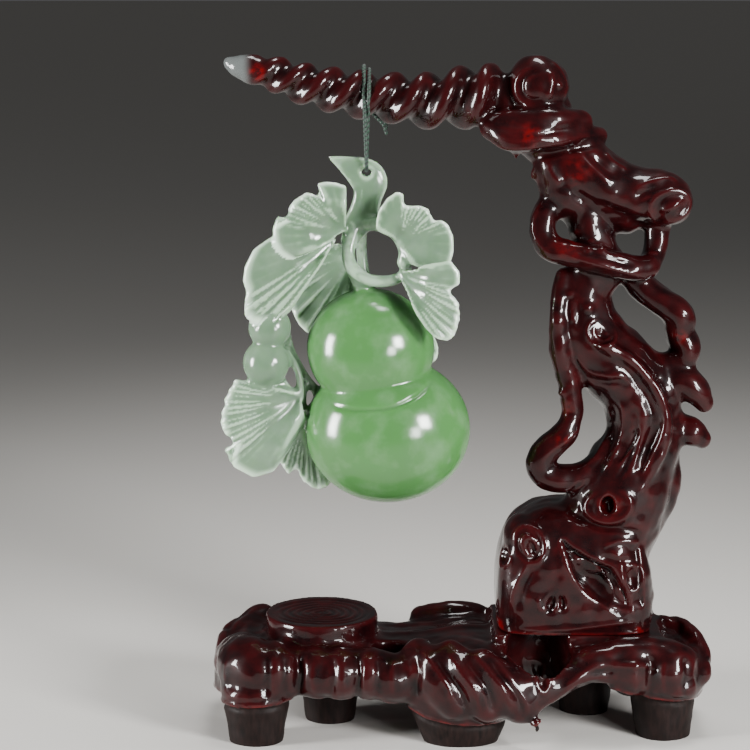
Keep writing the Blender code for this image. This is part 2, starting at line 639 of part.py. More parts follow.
LEAVES = {
    "left fan": ((-7.0, -3.0, -20.0), (-8.0, -7.0), [
        (-6.8, -3.9), (-10.5, -2.5), (-14.0, -2.2), (-17.2, -2.9), (-16.1, -7.5), (-20.7, -5.9),
        (-24.9, -8.5), (-27.1, -11.7), (-27.4, -15.6), (-31.1, -14.1), (-32.9, -19.0), (-32.4, -23.4),
        (-30.9, -26.3), (-26.3, -29.4), (-19.4, -27.0), (-11.1, -22.8)]),
    "left hanging": ((-10.0, -2.0, -23.0), (-7.0, -6.0), [
        (-21.9, -21.4), (-33.3, -21.8), (-39.7, -26.4), (-42.8, -32.5), (-43.5, -37.5), (-42.3, -41.2),
        (-42.9, -46.1), (-43.0, -49.9), (-41.2, -51.7), (-36.9, -52.2), (-32.0, -51.1), (-27.1, -49.2),
        (-21.6, -40.0), (-16.0, -30.1)]),
    "behind": ((-5.0, 5.0, -31.0), (3.0, 5.0), [
        (-9.7, -26.6), (-17.6, -27.7), (-24.1, -32.7), (-27.4, -41.1), (-27.4, -50.2), (-24.2, -56.8),
        (-19.9, -60.4), (-13.4, -55.8), (-4.0, -48.5)]),
    "right fan": ((11.5, -6.0, -23.5), (-3.0, -5.0), [
        (3.4, -19.4), (3.4, -15.2), (4.4, -11.9), (7.2, -8.0), (10.6, -5.6), (13.3, -6.5), (13.0, -10.6),
        (15.5, -10.8), (18.6, -10.6), (21.7, -11.9), (23.4, -16.2), (26.0, -15.5), (28.6, -17.4),
        (30.4, -21.4), (30.6, -26.8), (29.3, -31.0), (25.5, -33.4), (20.5, -33.2), (15.5, -31.4)]),
    "right hanging": ((10.5, -7.0, -34.4), (-9.0, -14.0), [
        (20.4, -29.8), (29.2, -28.4), (32.4, -32.6), (32.4, -36.9), (28.5, -38.7), (32.1, -43.3),
        (32.5, -48.7), (31.1, -54.0), (28.3, -56.9), (24.0, -55.8), (20.5, -52.2), (17.6, -48.0),
        (15.2, -43.3)]),
    "low fan": ((-23.0, -2.0, -79.5), (-5.0, -3.0), [
        (-31.2, -75.4), (-40.2, -73.9), (-46.6, -73.2), (-49.9, -79.4), (-52.2, -88.6), (-50.8, -93.0),
        (-45.8, -96.7), (-50.8, -98.5), (-47.7, -105.2), (-40.5, -109.2), (-33.2, -107.0), (-27.8, -99.6),
        (-21.5, -88.6)]),
    "low blades": ((-21.0, 1.0, -84.0), (3.0, 3.0), [
        (-32.8, -103.0), (-30.6, -106.8), (-28.1, -110.5), (-25.5, -106.8), (-23.4, -112.4), (-17.9, -116.1),
        (-13.2, -114.2), (-13.3, -103.0), (-14.8, -91.9)]),
    "tuft": ((16.0, 8.0, -50.0), (2.0, 4.0), [
        (22.0, -54.0), (24.3, -60.7), (25.8, -64.4), (25.8, -68.1), (24.0, -70.7), (18.3, -70.9)]),
}
LEAF_THICKNESS = 2.2
LEAF_GROOVE = 0.55


def add_leaf(bm, base, bulge, rim):
    """A fan leaf: a grid bent from its base to its rim, grooved, and thickened.

    bulge is how far its middle and its rim stand forward of or behind the base.
    """
    rows = 6
    columns = 2 * (len(rim) - 1)
    sheet = bmesh.new()
    bmesh.ops.create_grid(sheet, x_segments=columns, y_segments=rows, size=1.0)
    for vertex in sheet.verts:
        along = (vertex.co.x + 1) / 2 * (len(rim) - 1)
        out = 0.06 + 0.94 * (vertex.co.y + 1) / 2
        first = min(int(along), len(rim) - 2)
        edge = Vector(rim[first]).lerp(Vector(rim[first + 1]), along - first)
        groove = LEAF_GROOVE * out * math.cos(2 * math.pi * along)
        crown = bulge[0] * math.sin(math.pi * out) + bulge[1] * out * out
        x = base[0] + (edge.x - base[0]) * out
        z = base[2] + (edge.y - base[2]) * out
        vertex.co = carving_point(x, base[1] + crown + groove, z)[:3]
    thickness = LEAF_THICKNESS * CARVING_GRID
    grown = bmesh.ops.extrude_face_region(sheet, geom=list(sheet.faces), use_keep_orig=True)
    far_side = [item for item in grown["geom"] if isinstance(item, bmesh.types.BMVert)]
    bmesh.ops.translate(sheet, vec=(0, thickness, 0), verts=far_side)
    bmesh.ops.recalc_face_normals(sheet, faces=sheet.faces)
    spare = bpy.data.meshes.new("leaf")
    sheet.to_mesh(spare)
    sheet.free()
    bm.from_mesh(spare)
    bpy.data.meshes.remove(spare)


def make_carving(jade):
    """The jade carving, one piece, with the hole that it hangs by."""
    bm = bmesh.new()
    grid = CARVING_GRID
    add_ball(bm, carving_point(*LOWER_BULB)[:3], [radius * grid for radius in LOWER_BULB_RADII], 4)
    add_ball(bm, carving_point(*UPPER_BULB)[:3], [radius * grid for radius in UPPER_BULB_RADII], 4)
    for bulb in (SMALL_UPPER, SMALL_LOWER):
        x, y, z, radius = carving_point(*bulb)
        add_ball(bm, (x, y, z), (radius, radius, radius))
    widest = max(station[3] for station in STALK) * grid
    add_limb(bm, [carving_point(*station) for station in STALK], STALK_THICKNESS / 2 / widest)
    for stations in VINES:
        add_limb(bm, [carving_point(*station) for station in stations], 1.0, 10)
    for base, bulge, rim in LEAVES.values():
        add_leaf(bm, base, bulge, rim)
    item = carve_blank("jade_gourd", bm, CARVING_GRAIN, CARVING_TRIANGLES, 2)
    hole = hole_centre()
    cutter = bmesh.new()
    turn = Matrix.Rotation(math.pi / 2, 4, "X")
    drill = bmesh.ops.create_cone(
        cutter, cap_ends=True, segments=14, radius1=1.0, radius2=1.0, depth=STALK_THICKNESS * 5,
        matrix=turn
    )
    bmesh.ops.scale(cutter, vec=(HOLE_WIDTH / 2, 1.0, HOLE_HEIGHT / 2), verts=drill["verts"])
    bmesh.ops.translate(cutter, vec=hole, verts=drill["verts"])
    cut_away(item, cutter)
    clear_cord(item)
    item.data.materials.append(jade)
    return item


# The knot's tails run right, forward and down, in shares of the knot's radius
KNOT_TAIL = [(0.0, 0.0, 0.0), (1.9, 0.0, 0.6), (3.75, 0.6, 2.5), (4.4, 0.6, 4.4)]
TAIL_SPREAD = 1.4


def strand_over_arm(side):
    """One of the thread's two strands, from behind the arm over its top and down its front."""
    centre, radius, distance = arm_section_at(UPRIGHT_X - CORD_FROM_FOOT + side * STRAND_SPACING / 2)
    lift = CORD_DIAMETER / 2 + FIT_GAP
    points = [knot_centre() + Vector((side * STRAND_SPACING / 2, 0.0, KNOT_RADIUS + FIT_GAP))]
    for degrees in range(-80, 81, 20):
        angle = math.radians(degrees)
        reach = radius * arm_twist(angle, distance) + lift
        around = Vector((0.0, -math.sin(angle), math.cos(angle)))
        points.append(centre + around * reach)
    return points


def cord_route():
    """The thread's line: over the arm, down, through the hole, and back up and over beside itself."""
    hole = hole_centre()
    lift = CORD_DIAMETER / 2 + FIT_GAP
    points = strand_over_arm(-1)
    turn = STALK_THICKNESS / 2 + lift + FIT_GAP
    rest = hole.z + HOLE_HEIGHT / 2 - lift
    for degrees in range(-90, 91, 30):
        angle = math.radians(degrees)
        y = hole.y + turn * math.sin(angle)
        z = rest + turn * (1 - math.cos(angle)) * 0.9
        points.append(Vector((hole.x, y, z)))
    points += reversed(strand_over_arm(1))
    return even_route(points, CORD_DIAMETER * 2.2)


def knot_centre():
    """Middle of the knot, behind the arm."""
    centre, radius = arm_section_at(UPRIGHT_X - CORD_FROM_FOOT)[:2]
    return Vector((centre.x, centre.y + radius + KNOT_RADIUS * 1.2, centre.z - radius * 0.55))


def cord_curve(name, radius, route):
    """A stretch of the thread as a curve with filled ends."""
    curve = bpy.data.curves.new(name, "CURVE")
    curve.dimensions = "3D"
    curve.bevel_depth = radius
    curve.bevel_resolution = 2
    curve.render_resolution_u = 0
    curve.use_fill_caps = True
    spline = curve.splines.new("POLY")
    spline.points.add(len(route) - 1)
    for point, place in zip(spline.points, route):
        point.co = (*place, 1.0)
    item = bpy.data.objects.new(name, curve)
    bpy.context.scene.collection.objects.link(item)
    return item


def cord_blank(route):
    """A bmesh of a stretch of the thread, with room about it."""
    item = cord_curve("cord_room", CORD_DIAMETER / 2 + FIT_GAP, route)
    graph = bpy.context.evaluated_depsgraph_get()
    mesh = bpy.data.meshes.new_from_object(item.evaluated_get(graph))
    bm = bmesh.new()
    bm.from_mesh(mesh)
    bmesh.ops.remove_doubles(bm, verts=bm.verts, dist=0.000001)
    bmesh.ops.recalc_face_normals(bm, faces=bm.faces)
    bpy.data.objects.remove(item, do_unlink=True)
    return bm


def clear_cord(item):
    """Clears room for the thread, one strand at a time because the strands lie side by side."""
    route = cord_route()
    middle = len(route) // 2
    for stretch in (route[:middle + 1], route[middle:]):
        cut_away(item, cord_blank(stretch))


def make_knot(thread):
    """The knot behind the arm with its two short tails."""
    knot = knot_centre()
    radius = KNOT_RADIUS
    bm = bmesh.new()
    add_ball(bm, knot, (radius * 1.2, radius, radius))
    for spread in (0.0, TAIL_SPREAD):
        tail = []
        for right, forward, down in KNOT_TAIL:
            drop = down + spread if right else 0.0
            place = knot + Vector((right, -forward, -drop)) * radius
            tail.append((*place, CORD_DIAMETER / 2))
        add_limb(bm, tail, 1.0, 10)
    item = carve_blank("cord_knot", bm, KNOT_GRAIN, KNOT_TRIANGLES, 1)
    clear_cord(item)
    item.data.materials.append(thread)
    return item


def main():
    """Builds the stand, the carving and the thread."""
    clear_scene()
    wood = finish_of("oxblood_lacquer", (0.095, 0.012, 0.014), 0.12)
    jade = finish_of("pale_jade", (0.42, 0.62, 0.40), 0.15)
    thread = finish_of("dark_green_thread", (0.020, 0.060, 0.035), 0.7)
    make_base(wood)
    make_upright(wood)
    make_carving(jade)
    cord = cord_curve("hanging_cord", CORD_DIAMETER / 2, cord_route())
    cord.data.materials.append(thread)
    make_knot(thread)
    for item in bpy.data.objects:
        if item.type == "MESH":
            item.data.shade_smooth()
            item.data.set_sharp_from_angle(angle=math.radians(50))


main()
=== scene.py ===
"""Builds the jade gourd carving that hangs by a thread from a lacquered root-wood stand.

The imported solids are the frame. Each piece follows the same drawing as its solid at a finer
grain, and then gets the carving that the solid leaves out: crests, ridges, curls, rings and
leaf grooves. Lengths in the drawings are millimetres, and everything built is in metres.
"""

import logging
import math
from dataclasses import dataclass, field
from enum import Enum
from typing import Callable, Iterable, Optional, Sequence

import bmesh
import bpy
import numpy as np
from mathutils import Matrix, Vector, noise


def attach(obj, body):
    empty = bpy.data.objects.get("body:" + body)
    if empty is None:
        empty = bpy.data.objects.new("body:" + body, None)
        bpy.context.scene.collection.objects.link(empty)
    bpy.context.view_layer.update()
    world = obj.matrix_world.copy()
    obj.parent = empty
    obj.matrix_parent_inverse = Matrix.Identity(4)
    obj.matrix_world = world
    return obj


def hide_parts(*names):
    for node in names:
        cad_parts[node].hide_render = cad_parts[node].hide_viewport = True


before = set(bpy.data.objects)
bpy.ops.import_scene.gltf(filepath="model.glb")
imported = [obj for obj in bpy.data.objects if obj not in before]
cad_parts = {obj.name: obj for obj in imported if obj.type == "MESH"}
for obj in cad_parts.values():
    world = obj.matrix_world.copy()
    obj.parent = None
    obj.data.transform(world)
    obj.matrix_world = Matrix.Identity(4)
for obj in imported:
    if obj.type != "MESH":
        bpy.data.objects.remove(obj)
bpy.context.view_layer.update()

log = logging.getLogger("scene")

MM = 0.001
SIGHT_SLOPE = 0.1917
FACING_RANGE = (0.05, 0.45)
ROUND_SIDES = 64

Station = tuple[float, ...]


class Face(Enum):
    """Which way a surface has to look for a stroke to be carved in it."""

    FRONT = (0.0, -1.0, 0.0)
    BACK = (0.0, 1.0, 0.0)
    UP = (0.0, 0.0, 1.0)
    LEFT = (-1.0, 0.0, 0.0)
    RIGHT = (1.0, 0.0, 0.0)


class Cut(Enum):
    """The section that a stroke leaves."""

    ROUND = 2.0
    CRISP = 1.2


def smooth_route(stations: Sequence[Station], pieces: int = 5) -> list[Vector]:
    """Finds stations on a smooth curve through the given ones.

    Args:
        stations: Tuples of numbers, all of one length.
        pieces: Steps between one station and the next.

    Returns:
        The stations of the curve, the given ones among them.
    """
    route = []
    last = len(stations) - 1
    for index in range(last):
        before = Vector(stations[max(index - 1, 0)])
        start = Vector(stations[index])
        end = Vector(stations[index + 1])
        after = Vector(stations[min(index + 2, last)])
        for step in range(pieces):
            t = step / pieces
            pull = (end - before) * t + (before * 2 - start * 5 + end * 4 - after) * t * t
            bend = (start * 3 - before - end * 3 + after) * t**3
            route.append((start * 2 + pull + bend) / 2)
    route.append(Vector(stations[last]))
    return route


def even_route(points: Sequence[Vector], spacing: float) -> list[Vector]:
    """Finds points at about the same spacing on a smooth curve through the given ones.

    Args:
        points: Points that the curve runs through.
        spacing: Distance from one point to the next, in metres.

    Returns:
        The points of the curve.
    """
    fine = smooth_route(points, 24)
    lengths = [0.0]
    for first, second in zip(fine, fine[1:]):
        lengths.append(lengths[-1] + (second - first).length)
    count = max(2, round(lengths[-1] / spacing))
    route = []
    index = 0
    for step in range(count + 1):
        target = lengths[-1] * step / count
        while index < len(fine) - 2 and lengths[index + 1] < target:
            index += 1
        share = (target - lengths[index]) / (lengths[index + 1] - lengths[index])
        route.append(fine[index].lerp(fine[index + 1], share))
    return route


def arc(
    centre: tuple[float, float], radii: tuple[float, float], start: float, end: float, tilt: float = 0.0
) -> list[tuple[float, float]]:
    """Draws part of an oval.

    Args:
        centre: Its middle in the drawing.
        radii: Half its width and half its height.
        start: First angle in degrees, from the right, anticlockwise.
        end: Last angle in degrees.
        tilt: How far the oval is turned anticlockwise, in degrees.

    Returns:
        Points along it.
    """
    steps = max(4, round(abs(end - start) / 15))
    lean = math.radians(tilt)
    points = []
    for step in range(steps + 1):
        angle = math.radians(start + (end - start) * step / steps)
        across, up = radii[0] * math.cos(angle), radii[1] * math.sin(angle)
        x = centre[0] + across * math.cos(lean) - up * math.sin(lean)
        points.append((x, centre[1] + across * math.sin(lean) + up * math.cos(lean)))
    return points


@dataclass(frozen=True)
class Stroke:
    """A ridge or a groove along a smooth line of a piece's drawing."""

    line: Sequence[tuple[float, float]]
    width: float
    height: float
    face: Face = Face.FRONT
    cut: Cut = Cut.ROUND
    taper: bool = True

    @classmethod
    def crisp(
        cls, line: Sequence[tuple[float, float]], width: float, height: float, face: Face = Face.FRONT
    ) -> "Stroke":
        """Draws a ridge or a groove with a narrow edge."""
        return cls(line, width, height, face, Cut.CRISP)

    @classmethod
    def ring(
        cls, centre: tuple[float, float], radii: tuple[float, float], width: float, height: float,
        start: float = 0.0, end: float = 360.0, tilt: float = 0.0,
    ) -> "Stroke":
        """Draws a stroke round an oval, or round a part of it."""
        return cls(arc(centre, radii, start, end, tilt), width, height, taper=end - start < 360.0)

    @classmethod
    def bump(cls, place: tuple[float, float], width: float, height: float) -> "Stroke":
        """Draws a small round swelling, or a dimple where the height is below zero."""
        return cls((place, (place[0] + 0.1, place[1])), width, height, taper=False)


@dataclass(frozen=True)
class Hollow:
    """A rounded hollow, by its middle, its three half sizes and its tilt in degrees."""

    place: Station
    radii: Station
    tilt: float = 0.0


@dataclass(frozen=True)
class Facet:
    """A slanting cut in a front, between two lines from top to bottom, deepest along its right one.

    A cut with a rise also leans back, by that much for each millimetre of its lean height.
    """

    left: Sequence[tuple[float, float]]
    right: Sequence[tuple[float, float]]
    depth: float
    rise: float = 0.0
    lean_height: float = 12.0
    run_out: float = 3.0

    def lift(self, across: np.ndarray, level: np.ndarray) -> np.ndarray:
        """Finds how far the cut lowers points of the front, as a negative lift in millimetres."""
        edges = []
        for line in (self.left, self.right):
            low_first = np.array(line)[::-1]
            edges.append(np.interp(level, low_first[:, 1], low_first[:, 0]))
        share = (across - edges[0]) / np.maximum(edges[1] - edges[0], 1e-6)
        top, bottom = self.left[0][1], self.left[-1][1]
        ends = ramp(level, bottom, bottom + self.run_out) * ramp(-level, -top, -top + self.run_out)
        inside = (share > 0) & (share < 1)
        lean = self.rise * np.clip(level - bottom, 0.0, self.lean_height) * ramp(share, 0.0, 0.15)
        cut = (self.depth * share + lean) * ramp(-share, -1.0, -0.88)
        return np.where(inside, -cut * ends, 0.0)


@dataclass(frozen=True)
class Drawing:
    """Where a piece's drawing stands and how large one of its millimetres is."""

    origin: tuple[float, float, float]
    grid: tuple[float, float, float] = (MM, MM, MM)

    def point(self, x: float, y: float, z: float) -> Vector:
        """Turns a point of the drawing into metres."""
        moved = zip(self.origin, (x, y, z), self.grid)
        return Vector([start + length * unit for start, length, unit in moved])

    def station(self, station: Station) -> tuple[float, float, float, float]:
        """Turns an (x, y, z, radius) station of the drawing into metres."""
        return (*self.point(*station[:3]), station[3] * self.grid[0])

    def drawn(self, places: np.ndarray) -> np.ndarray:
        """Turns places in metres, one row each, back into the drawing's millimetres."""
        return (places - np.array(self.origin)) / np.array(self.grid)


@dataclass(frozen=True)
class Limb:
    """A root, stem or vine: its stations and how thick it is front to back."""

    stations: Sequence[Station]
    flatness: float = 1.0
    sides: int = 20


class Blank:
    """Wood or stone that a piece is carved from: overlapping forms, then one closed skin."""

    def __init__(self, name: str, drawing: Drawing) -> None:
        """Starts an empty blank for a named piece."""
        self.name = name
        self.drawing = drawing
        self.bm = bmesh.new()
        self.item: Optional[bpy.types.Object] = None

    def ball(self, centre: Sequence[float], radii: Sequence[float], roundness: int = 4) -> None:
        """Adds a ball or an egg, in metres."""
        add_ball(self.bm, centre, radii, roundness)

    def knob(self, station: Station, stretch: float = 1.0) -> None:
        """Adds a ball at a station of the drawing, stretched front to back."""
        x, y, z, radius = self.drawing.station(station)
        self.ball((x, y, z), (radius, radius * stretch, radius))

    def loft(self, rings: Sequence[Sequence[Sequence[float]]]) -> None:
        """Adds a closed skin over rings of points, each with as many points as the first.

        Args:
            rings: Rings in metres, from one end to the other.
        """
        made = bmesh.ops.create_circle(
            self.bm, cap_ends=True, cap_tris=False, segments=len(rings[0]), radius=1.0
        )
        corners = made["verts"]
        cap = corners[0].link_faces[0]
        first_ring = list(corners)
        for index, ring in enumerate(rings):
            if index:
                grown = bmesh.ops.extrude_face_region(self.bm, geom=[cap])
                bmesh.ops.delete(self.bm, geom=[cap], context="FACES_ONLY")
                cap = next(part for part in grown["geom"] if isinstance(part, bmesh.types.BMFace))
                corners = [loop.vert for loop in cap.loops]
            for corner, point in zip(corners, ring):
                corner.co = point
        if not self.bm.faces.get(first_ring):
            self.bm.faces.new(reversed(first_ring))

    def limb(self, limb: Limb, shape: Optional[Callable[[float, float], float]] = None) -> None:
        """Adds a limb with round ends.

        Args:
            limb: Its stations in the piece's drawing.
            shape: Scales the radius at an angle from the top and a distance along it.
        """
        route = smooth_route([self.drawing.station(station) for station in limb.stations], 8)
        points = [Vector(station[:3]) for station in route]
        rings = []
        distance = 0.0
        for index, point in enumerate(points):
            ahead = points[min(index + 1, len(points) - 1)]
            behind = points[max(index - 1, 0)]
            across, facing = section_frame((ahead - behind).normalized())
            if index:
                distance += (point - points[index - 1]).length
            ring = []
            for side in range(limb.sides):
                angle = 2 * math.pi * side / limb.sides
                reach = route[index][3] * (shape(angle, distance) if shape else 1.0)
                offset = (across * math.cos(angle) + facing * math.sin(angle)) * reach
                offset.y *= limb.flatness
                ring.append(point + offset)
            rings.append(ring)
        self.loft(rings)
        for end, share in ((0, 0.0), (-1, distance)):
            radius = route[end][3] * (shape(math.pi / 4, share) if shape else 1.0)
            self.ball(points[end], (radius, radius * limb.flatness, radius), 3)

    def prism(
        self, centre: Sequence[float], radii: Sequence[float], bottom: float, top: float, taper: float = 1.0,
        round_over: float = 0.0,
    ) -> None:
        """Adds an upright round or oval block, in metres.

        Args:
            centre: Its middle along X and Y.
            radii: Half its length and half its depth at the bottom.
            bottom: Its lowest level.
            top: Its highest level.
            taper: Its width at the top as a share of that at the bottom.
            round_over: Radius of its rims.
        """
        place = Matrix.Translation((centre[0], centre[1], (bottom + top) / 2))
        made = bmesh.ops.create_cone(
            self.bm, cap_ends=True, segments=ROUND_SIDES, radius1=1.0, radius2=taper, depth=top - bottom,
            matrix=place
        )
        for vertex in made["verts"]:
            vertex.co.x = centre[0] + (vertex.co.x - centre[0]) * radii[0]
            vertex.co.y = centre[1] + (vertex.co.y - centre[1]) * radii[1]
        if round_over:
            rim = {edge for vertex in made["verts"] for edge in vertex.link_edges}
            rim = [edge for edge in rim if abs(edge.verts[0].co.z - edge.verts[1].co.z) < 1e-6]
            bmesh.ops.bevel(
                self.bm, geom=rim, offset=round_over, offset_type="OFFSET", segments=5, profile=0.5,
                affect="EDGES", material=-1
            )

    def box(self, low: Sequence[float], high: Sequence[float]) -> None:
        """Adds a box from its lowest to its highest corner, in metres."""
        size = [top - bottom for bottom, top in zip(low, high)]
        middle = [(top + bottom) / 2 for bottom, top in zip(low, high)]
        place = Matrix.Translation(middle) @ Matrix.Diagonal((*size, 1.0))
        bmesh.ops.create_cube(self.bm, size=1.0, matrix=place)

    def fuse(self, grain: float, softness: int) -> None:
        """Joins what the blank holds into one closed skin of even faces.

        Args:
            grain: Size of its faces in metres.
            softness: Rounds of smoothing.
        """
        if self.item is None:
            mesh = bpy.data.meshes.new(self.name)
            self.bm.to_mesh(mesh)
            self.bm.free()
            self.item = bpy.data.objects.new(self.name, mesh)
            bpy.context.scene.collection.objects.link(self.item)
        join = self.item.modifiers.new("join", "REMESH")
        join.mode = "VOXEL"
        join.voxel_size = grain
        join.use_smooth_shade = True
        if softness:
            add_smoothing(self.item, softness)
        settle(self.item)
        edit(self.item, keep_largest)

    def hollow(self, hollows: Iterable[Hollow]) -> None:
        """Scoops rounded hollows out of the skin, one by one."""
        for hollow in hollows:
            gouge = bmesh.new()
            unit = self.drawing.grid[0]
            add_ball(gouge, (0.0, 0.0, 0.0), [radius * unit for radius in hollow.radii], 3)
            turn = Matrix.Rotation(math.radians(hollow.tilt), 4, "Y")
            bmesh.ops.transform(gouge, matrix=turn, verts=gouge.verts)
            bmesh.ops.translate(gouge, vec=self.drawing.point(*hollow.place), verts=gouge.verts)
            cut_away(self.item, gouge)

    def carve(self, strokes: Iterable[Stroke]) -> None:
        """Raises ridges and sinks grooves along the strokes of the drawing.

        Args:
            strokes: Strokes of the piece. Those on top are drawn in X and Y, and those in front as
                they look from 11 degrees above, in X and in Z plus the sight slope times Y.
        """
        places, normals = read_mesh(self.item.data)
        drawn = self.drawing.drawn(places)
        lift = np.zeros(len(places))
        for stroke in strokes:
            lift += stroke_lift(stroke, drawn, normals)
        self.push(lift * self.drawing.grid[0])

    def pare(self, facets: Iterable[Facet]) -> None:
        """Pares slanting facets into the front, as a chisel leaves them."""
        places, normals = read_mesh(self.item.data)
        drawn = self.drawing.drawn(places)
        level = drawn[:, 2] + SIGHT_SLOPE * drawn[:, 1]
        facing = ramp(-normals[:, 1], *FACING_RANGE)
        lift = sum(facet.lift(drawn[:, 0], level) for facet in facets) * facing
        self.push(lift * self.drawing.grid[0])

    def knead(self, size: float, depth: float, calm: float = -1.0) -> None:
        """Makes the skin uneven, as a knife and thick lacquer leave it.

        Args:
            size: Width of the swellings in millimetres.
            depth: How far they stand out in millimetres.
            calm: X in metres, left of which the skin is a quarter as uneven.
        """
        places = read_mesh(self.item.data)[0]
        lift = np.array([noise.noise(Vector(place) / (size * MM)) for place in places])
        lift *= ramp(places[:, 0], calm - 0.005, calm + 0.005) * 0.75 + 0.25
        self.push(lift * depth * MM)

    def soften(self, rounds: int) -> None:
        """Evens out the skin a little."""
        add_smoothing(self.item, rounds)
        settle(self.item)

    def push(self, lift: np.ndarray) -> None:
        """Moves each point of the skin out along its normal, by its lift in metres."""
        places, normals = read_mesh(self.item.data)
        write_mesh(self.item.data, places + normals * lift[:, None])

    def slice_flat(self, level: float, keep_above: bool) -> None:
        """Cuts the skin flat at a level and closes it there."""

        def cut(bm: bmesh.types.BMesh) -> None:
            """Cuts one mesh and fills the cut."""
            made = bmesh.ops.bisect_plane(
                bm, geom=[*bm.verts, *bm.edges, *bm.faces], dist=1e-6, plane_co=(0.0, 0.0, level),
                plane_no=(0.0, 0.0, 1.0), clear_inner=keep_above, clear_outer=not keep_above
            )
            rim = [part for part in made["geom_cut"] if isinstance(part, bmesh.types.BMEdge)]
            bmesh.ops.holes_fill(bm, edges=rim, sides=0)

        edit(self.item, cut)


def section_frame(tangent: Vector) -> tuple[Vector, Vector]:
    """Finds two directions across a limb: one in the drawing's plane, one towards the viewer."""
    depth = Vector((0.0, 1.0, 0.0))
    if abs(tangent.dot(depth)) > 0.95:
        depth = Vector((1.0, 0.0, 0.0))
    across = tangent.cross(depth).normalized()
    return across, tangent.cross(across).normalized()


def add_ball(bm: bmesh.types.BMesh, centre: Sequence[float], radii: Sequence[float], roundness: int) -> None:
    """Adds a ball or an egg with its own radius along each axis."""
    made = bmesh.ops.create_icosphere(bm, subdivisions=roundness, radius=1.0)
    bmesh.ops.scale(bm, vec=radii, verts=made["verts"])
    bmesh.ops.translate(bm, vec=centre, verts=made["verts"])


def boxy_ring(sides: int, boxiness: float) -> list[tuple[float, float]]:
    """Lists points round a rounded box, by how far across and up they are, from -1 to 1."""
    ring = []
    for side in range(sides):
        angle = 2 * math.pi * side / sides
        across, up = math.cos(angle), math.sin(angle)
        ring.append((math.copysign(abs(across) ** boxiness, across), math.copysign(abs(up) ** boxiness, up)))
    return ring


def keep_largest(bm: bmesh.types.BMesh) -> None:
    """Deletes every loose crumb and closed pocket, and keeps the largest body."""
    unseen = set(bm.verts)
    bodies = []
    while unseen:
        body = [unseen.pop()]
        for vertex in body:
            for edge in vertex.link_edges:
                other = edge.other_vert(vertex)
                if other in unseen:
                    unseen.discard(other)
                    body.append(other)
        bodies.append(body)
    bodies.sort(key=len)
    crumbs = [vertex for body in bodies[:-1] for vertex in body]
    bmesh.ops.delete(bm, geom=crumbs, context="VERTS")


def add_smoothing(item: bpy.types.Object, rounds: int) -> None:
    """Adds a modifier that evens out an object's skin."""
    soften = item.modifiers.new("soften", "SMOOTH")
    soften.factor = 0.5
    soften.iterations = rounds


def settle(item: bpy.types.Object) -> None:
    """Puts what the object's modifiers make into its own mesh."""
    graph = bpy.context.evaluated_depsgraph_get()
    mesh = bpy.data.meshes.new_from_object(item.evaluated_get(graph))
    item.modifiers.clear()
    item.data = mesh


def edit(item: bpy.types.Object, change: Callable[[bmesh.types.BMesh], None]) -> None:
    """Runs one change on the object's mesh."""
    bm = bmesh.new()
    bm.from_mesh(item.data)
    change(bm)
    bm.to_mesh(item.data)
    bm.free()


def cut_away(item: bpy.types.Object, cutter: bmesh.types.BMesh) -> None:
    """Cuts a closed form out of the object.

    Args:
        item: The object that is cut.
        cutter: The form, which is freed.
    """
    mesh = bpy.data.meshes.new("cutter")
    cutter.to_mesh(mesh)
    cutter.free()
    tool = bpy.data.objects.new("cutter", mesh)
    bpy.context.scene.collection.objects.link(tool)
    cut = item.modifiers.new("cut", "BOOLEAN")
    cut.operation = "DIFFERENCE"
    cut.solver = "EXACT"
    cut.object = tool
    settle(item)
    bpy.data.objects.remove(tool, do_unlink=True)


def bar_cutter(
    sides: int, length: float, size: Sequence[float], place: Sequence[float], turn: Matrix
) -> bmesh.types.BMesh:
    """Makes a round or oval bar to cut with.

    Args:
        sides: Its flat sides.
        length: Its length in metres, before it is scaled.
        size: How much it is scaled along each axis, from a radius of 1 metre.
        place: Its middle.
        turn: Turns it from upright.

    Returns:
        The bar.
    """
    cutter = bmesh.new()
    made = bmesh.ops.create_cone(
        cutter, cap_ends=True, segments=sides, radius1=1.0, radius2=1.0, depth=length, matrix=turn
    )
    bmesh.ops.scale(cutter, vec=size, verts=made["verts"])
    bmesh.ops.translate(cutter, vec=place, verts=made["verts"])
    return cutter


def read_mesh(mesh: bpy.types.Mesh) -> tuple[np.ndarray, np.ndarray]:
    """Reads the places and normals of a mesh's vertices."""
    count = len(mesh.vertices)
    places = np.empty(count * 3, dtype=np.float64)
    mesh.vertices.foreach_get("co", places)
    normals = np.empty(count * 3, dtype=np.float32)
    mesh.vertex_normals.foreach_get("vector", normals)
    return places.reshape(-1, 3), normals.reshape(-1, 3).astype(np.float64)


def write_mesh(mesh: bpy.types.Mesh, places: np.ndarray) -> None:
    """Puts a mesh's vertices at new places."""
    mesh.vertices.foreach_set("co", places.astype(np.float32).ravel())
    mesh.update()


def ramp(values: np.ndarray, low: float, high: float) -> np.ndarray:
    """Rises smoothly from 0 at low to 1 at high."""
    share = np.clip((values - low) / (high - low), 0.0, 1.0)
    return share * share * (3 - 2 * share)


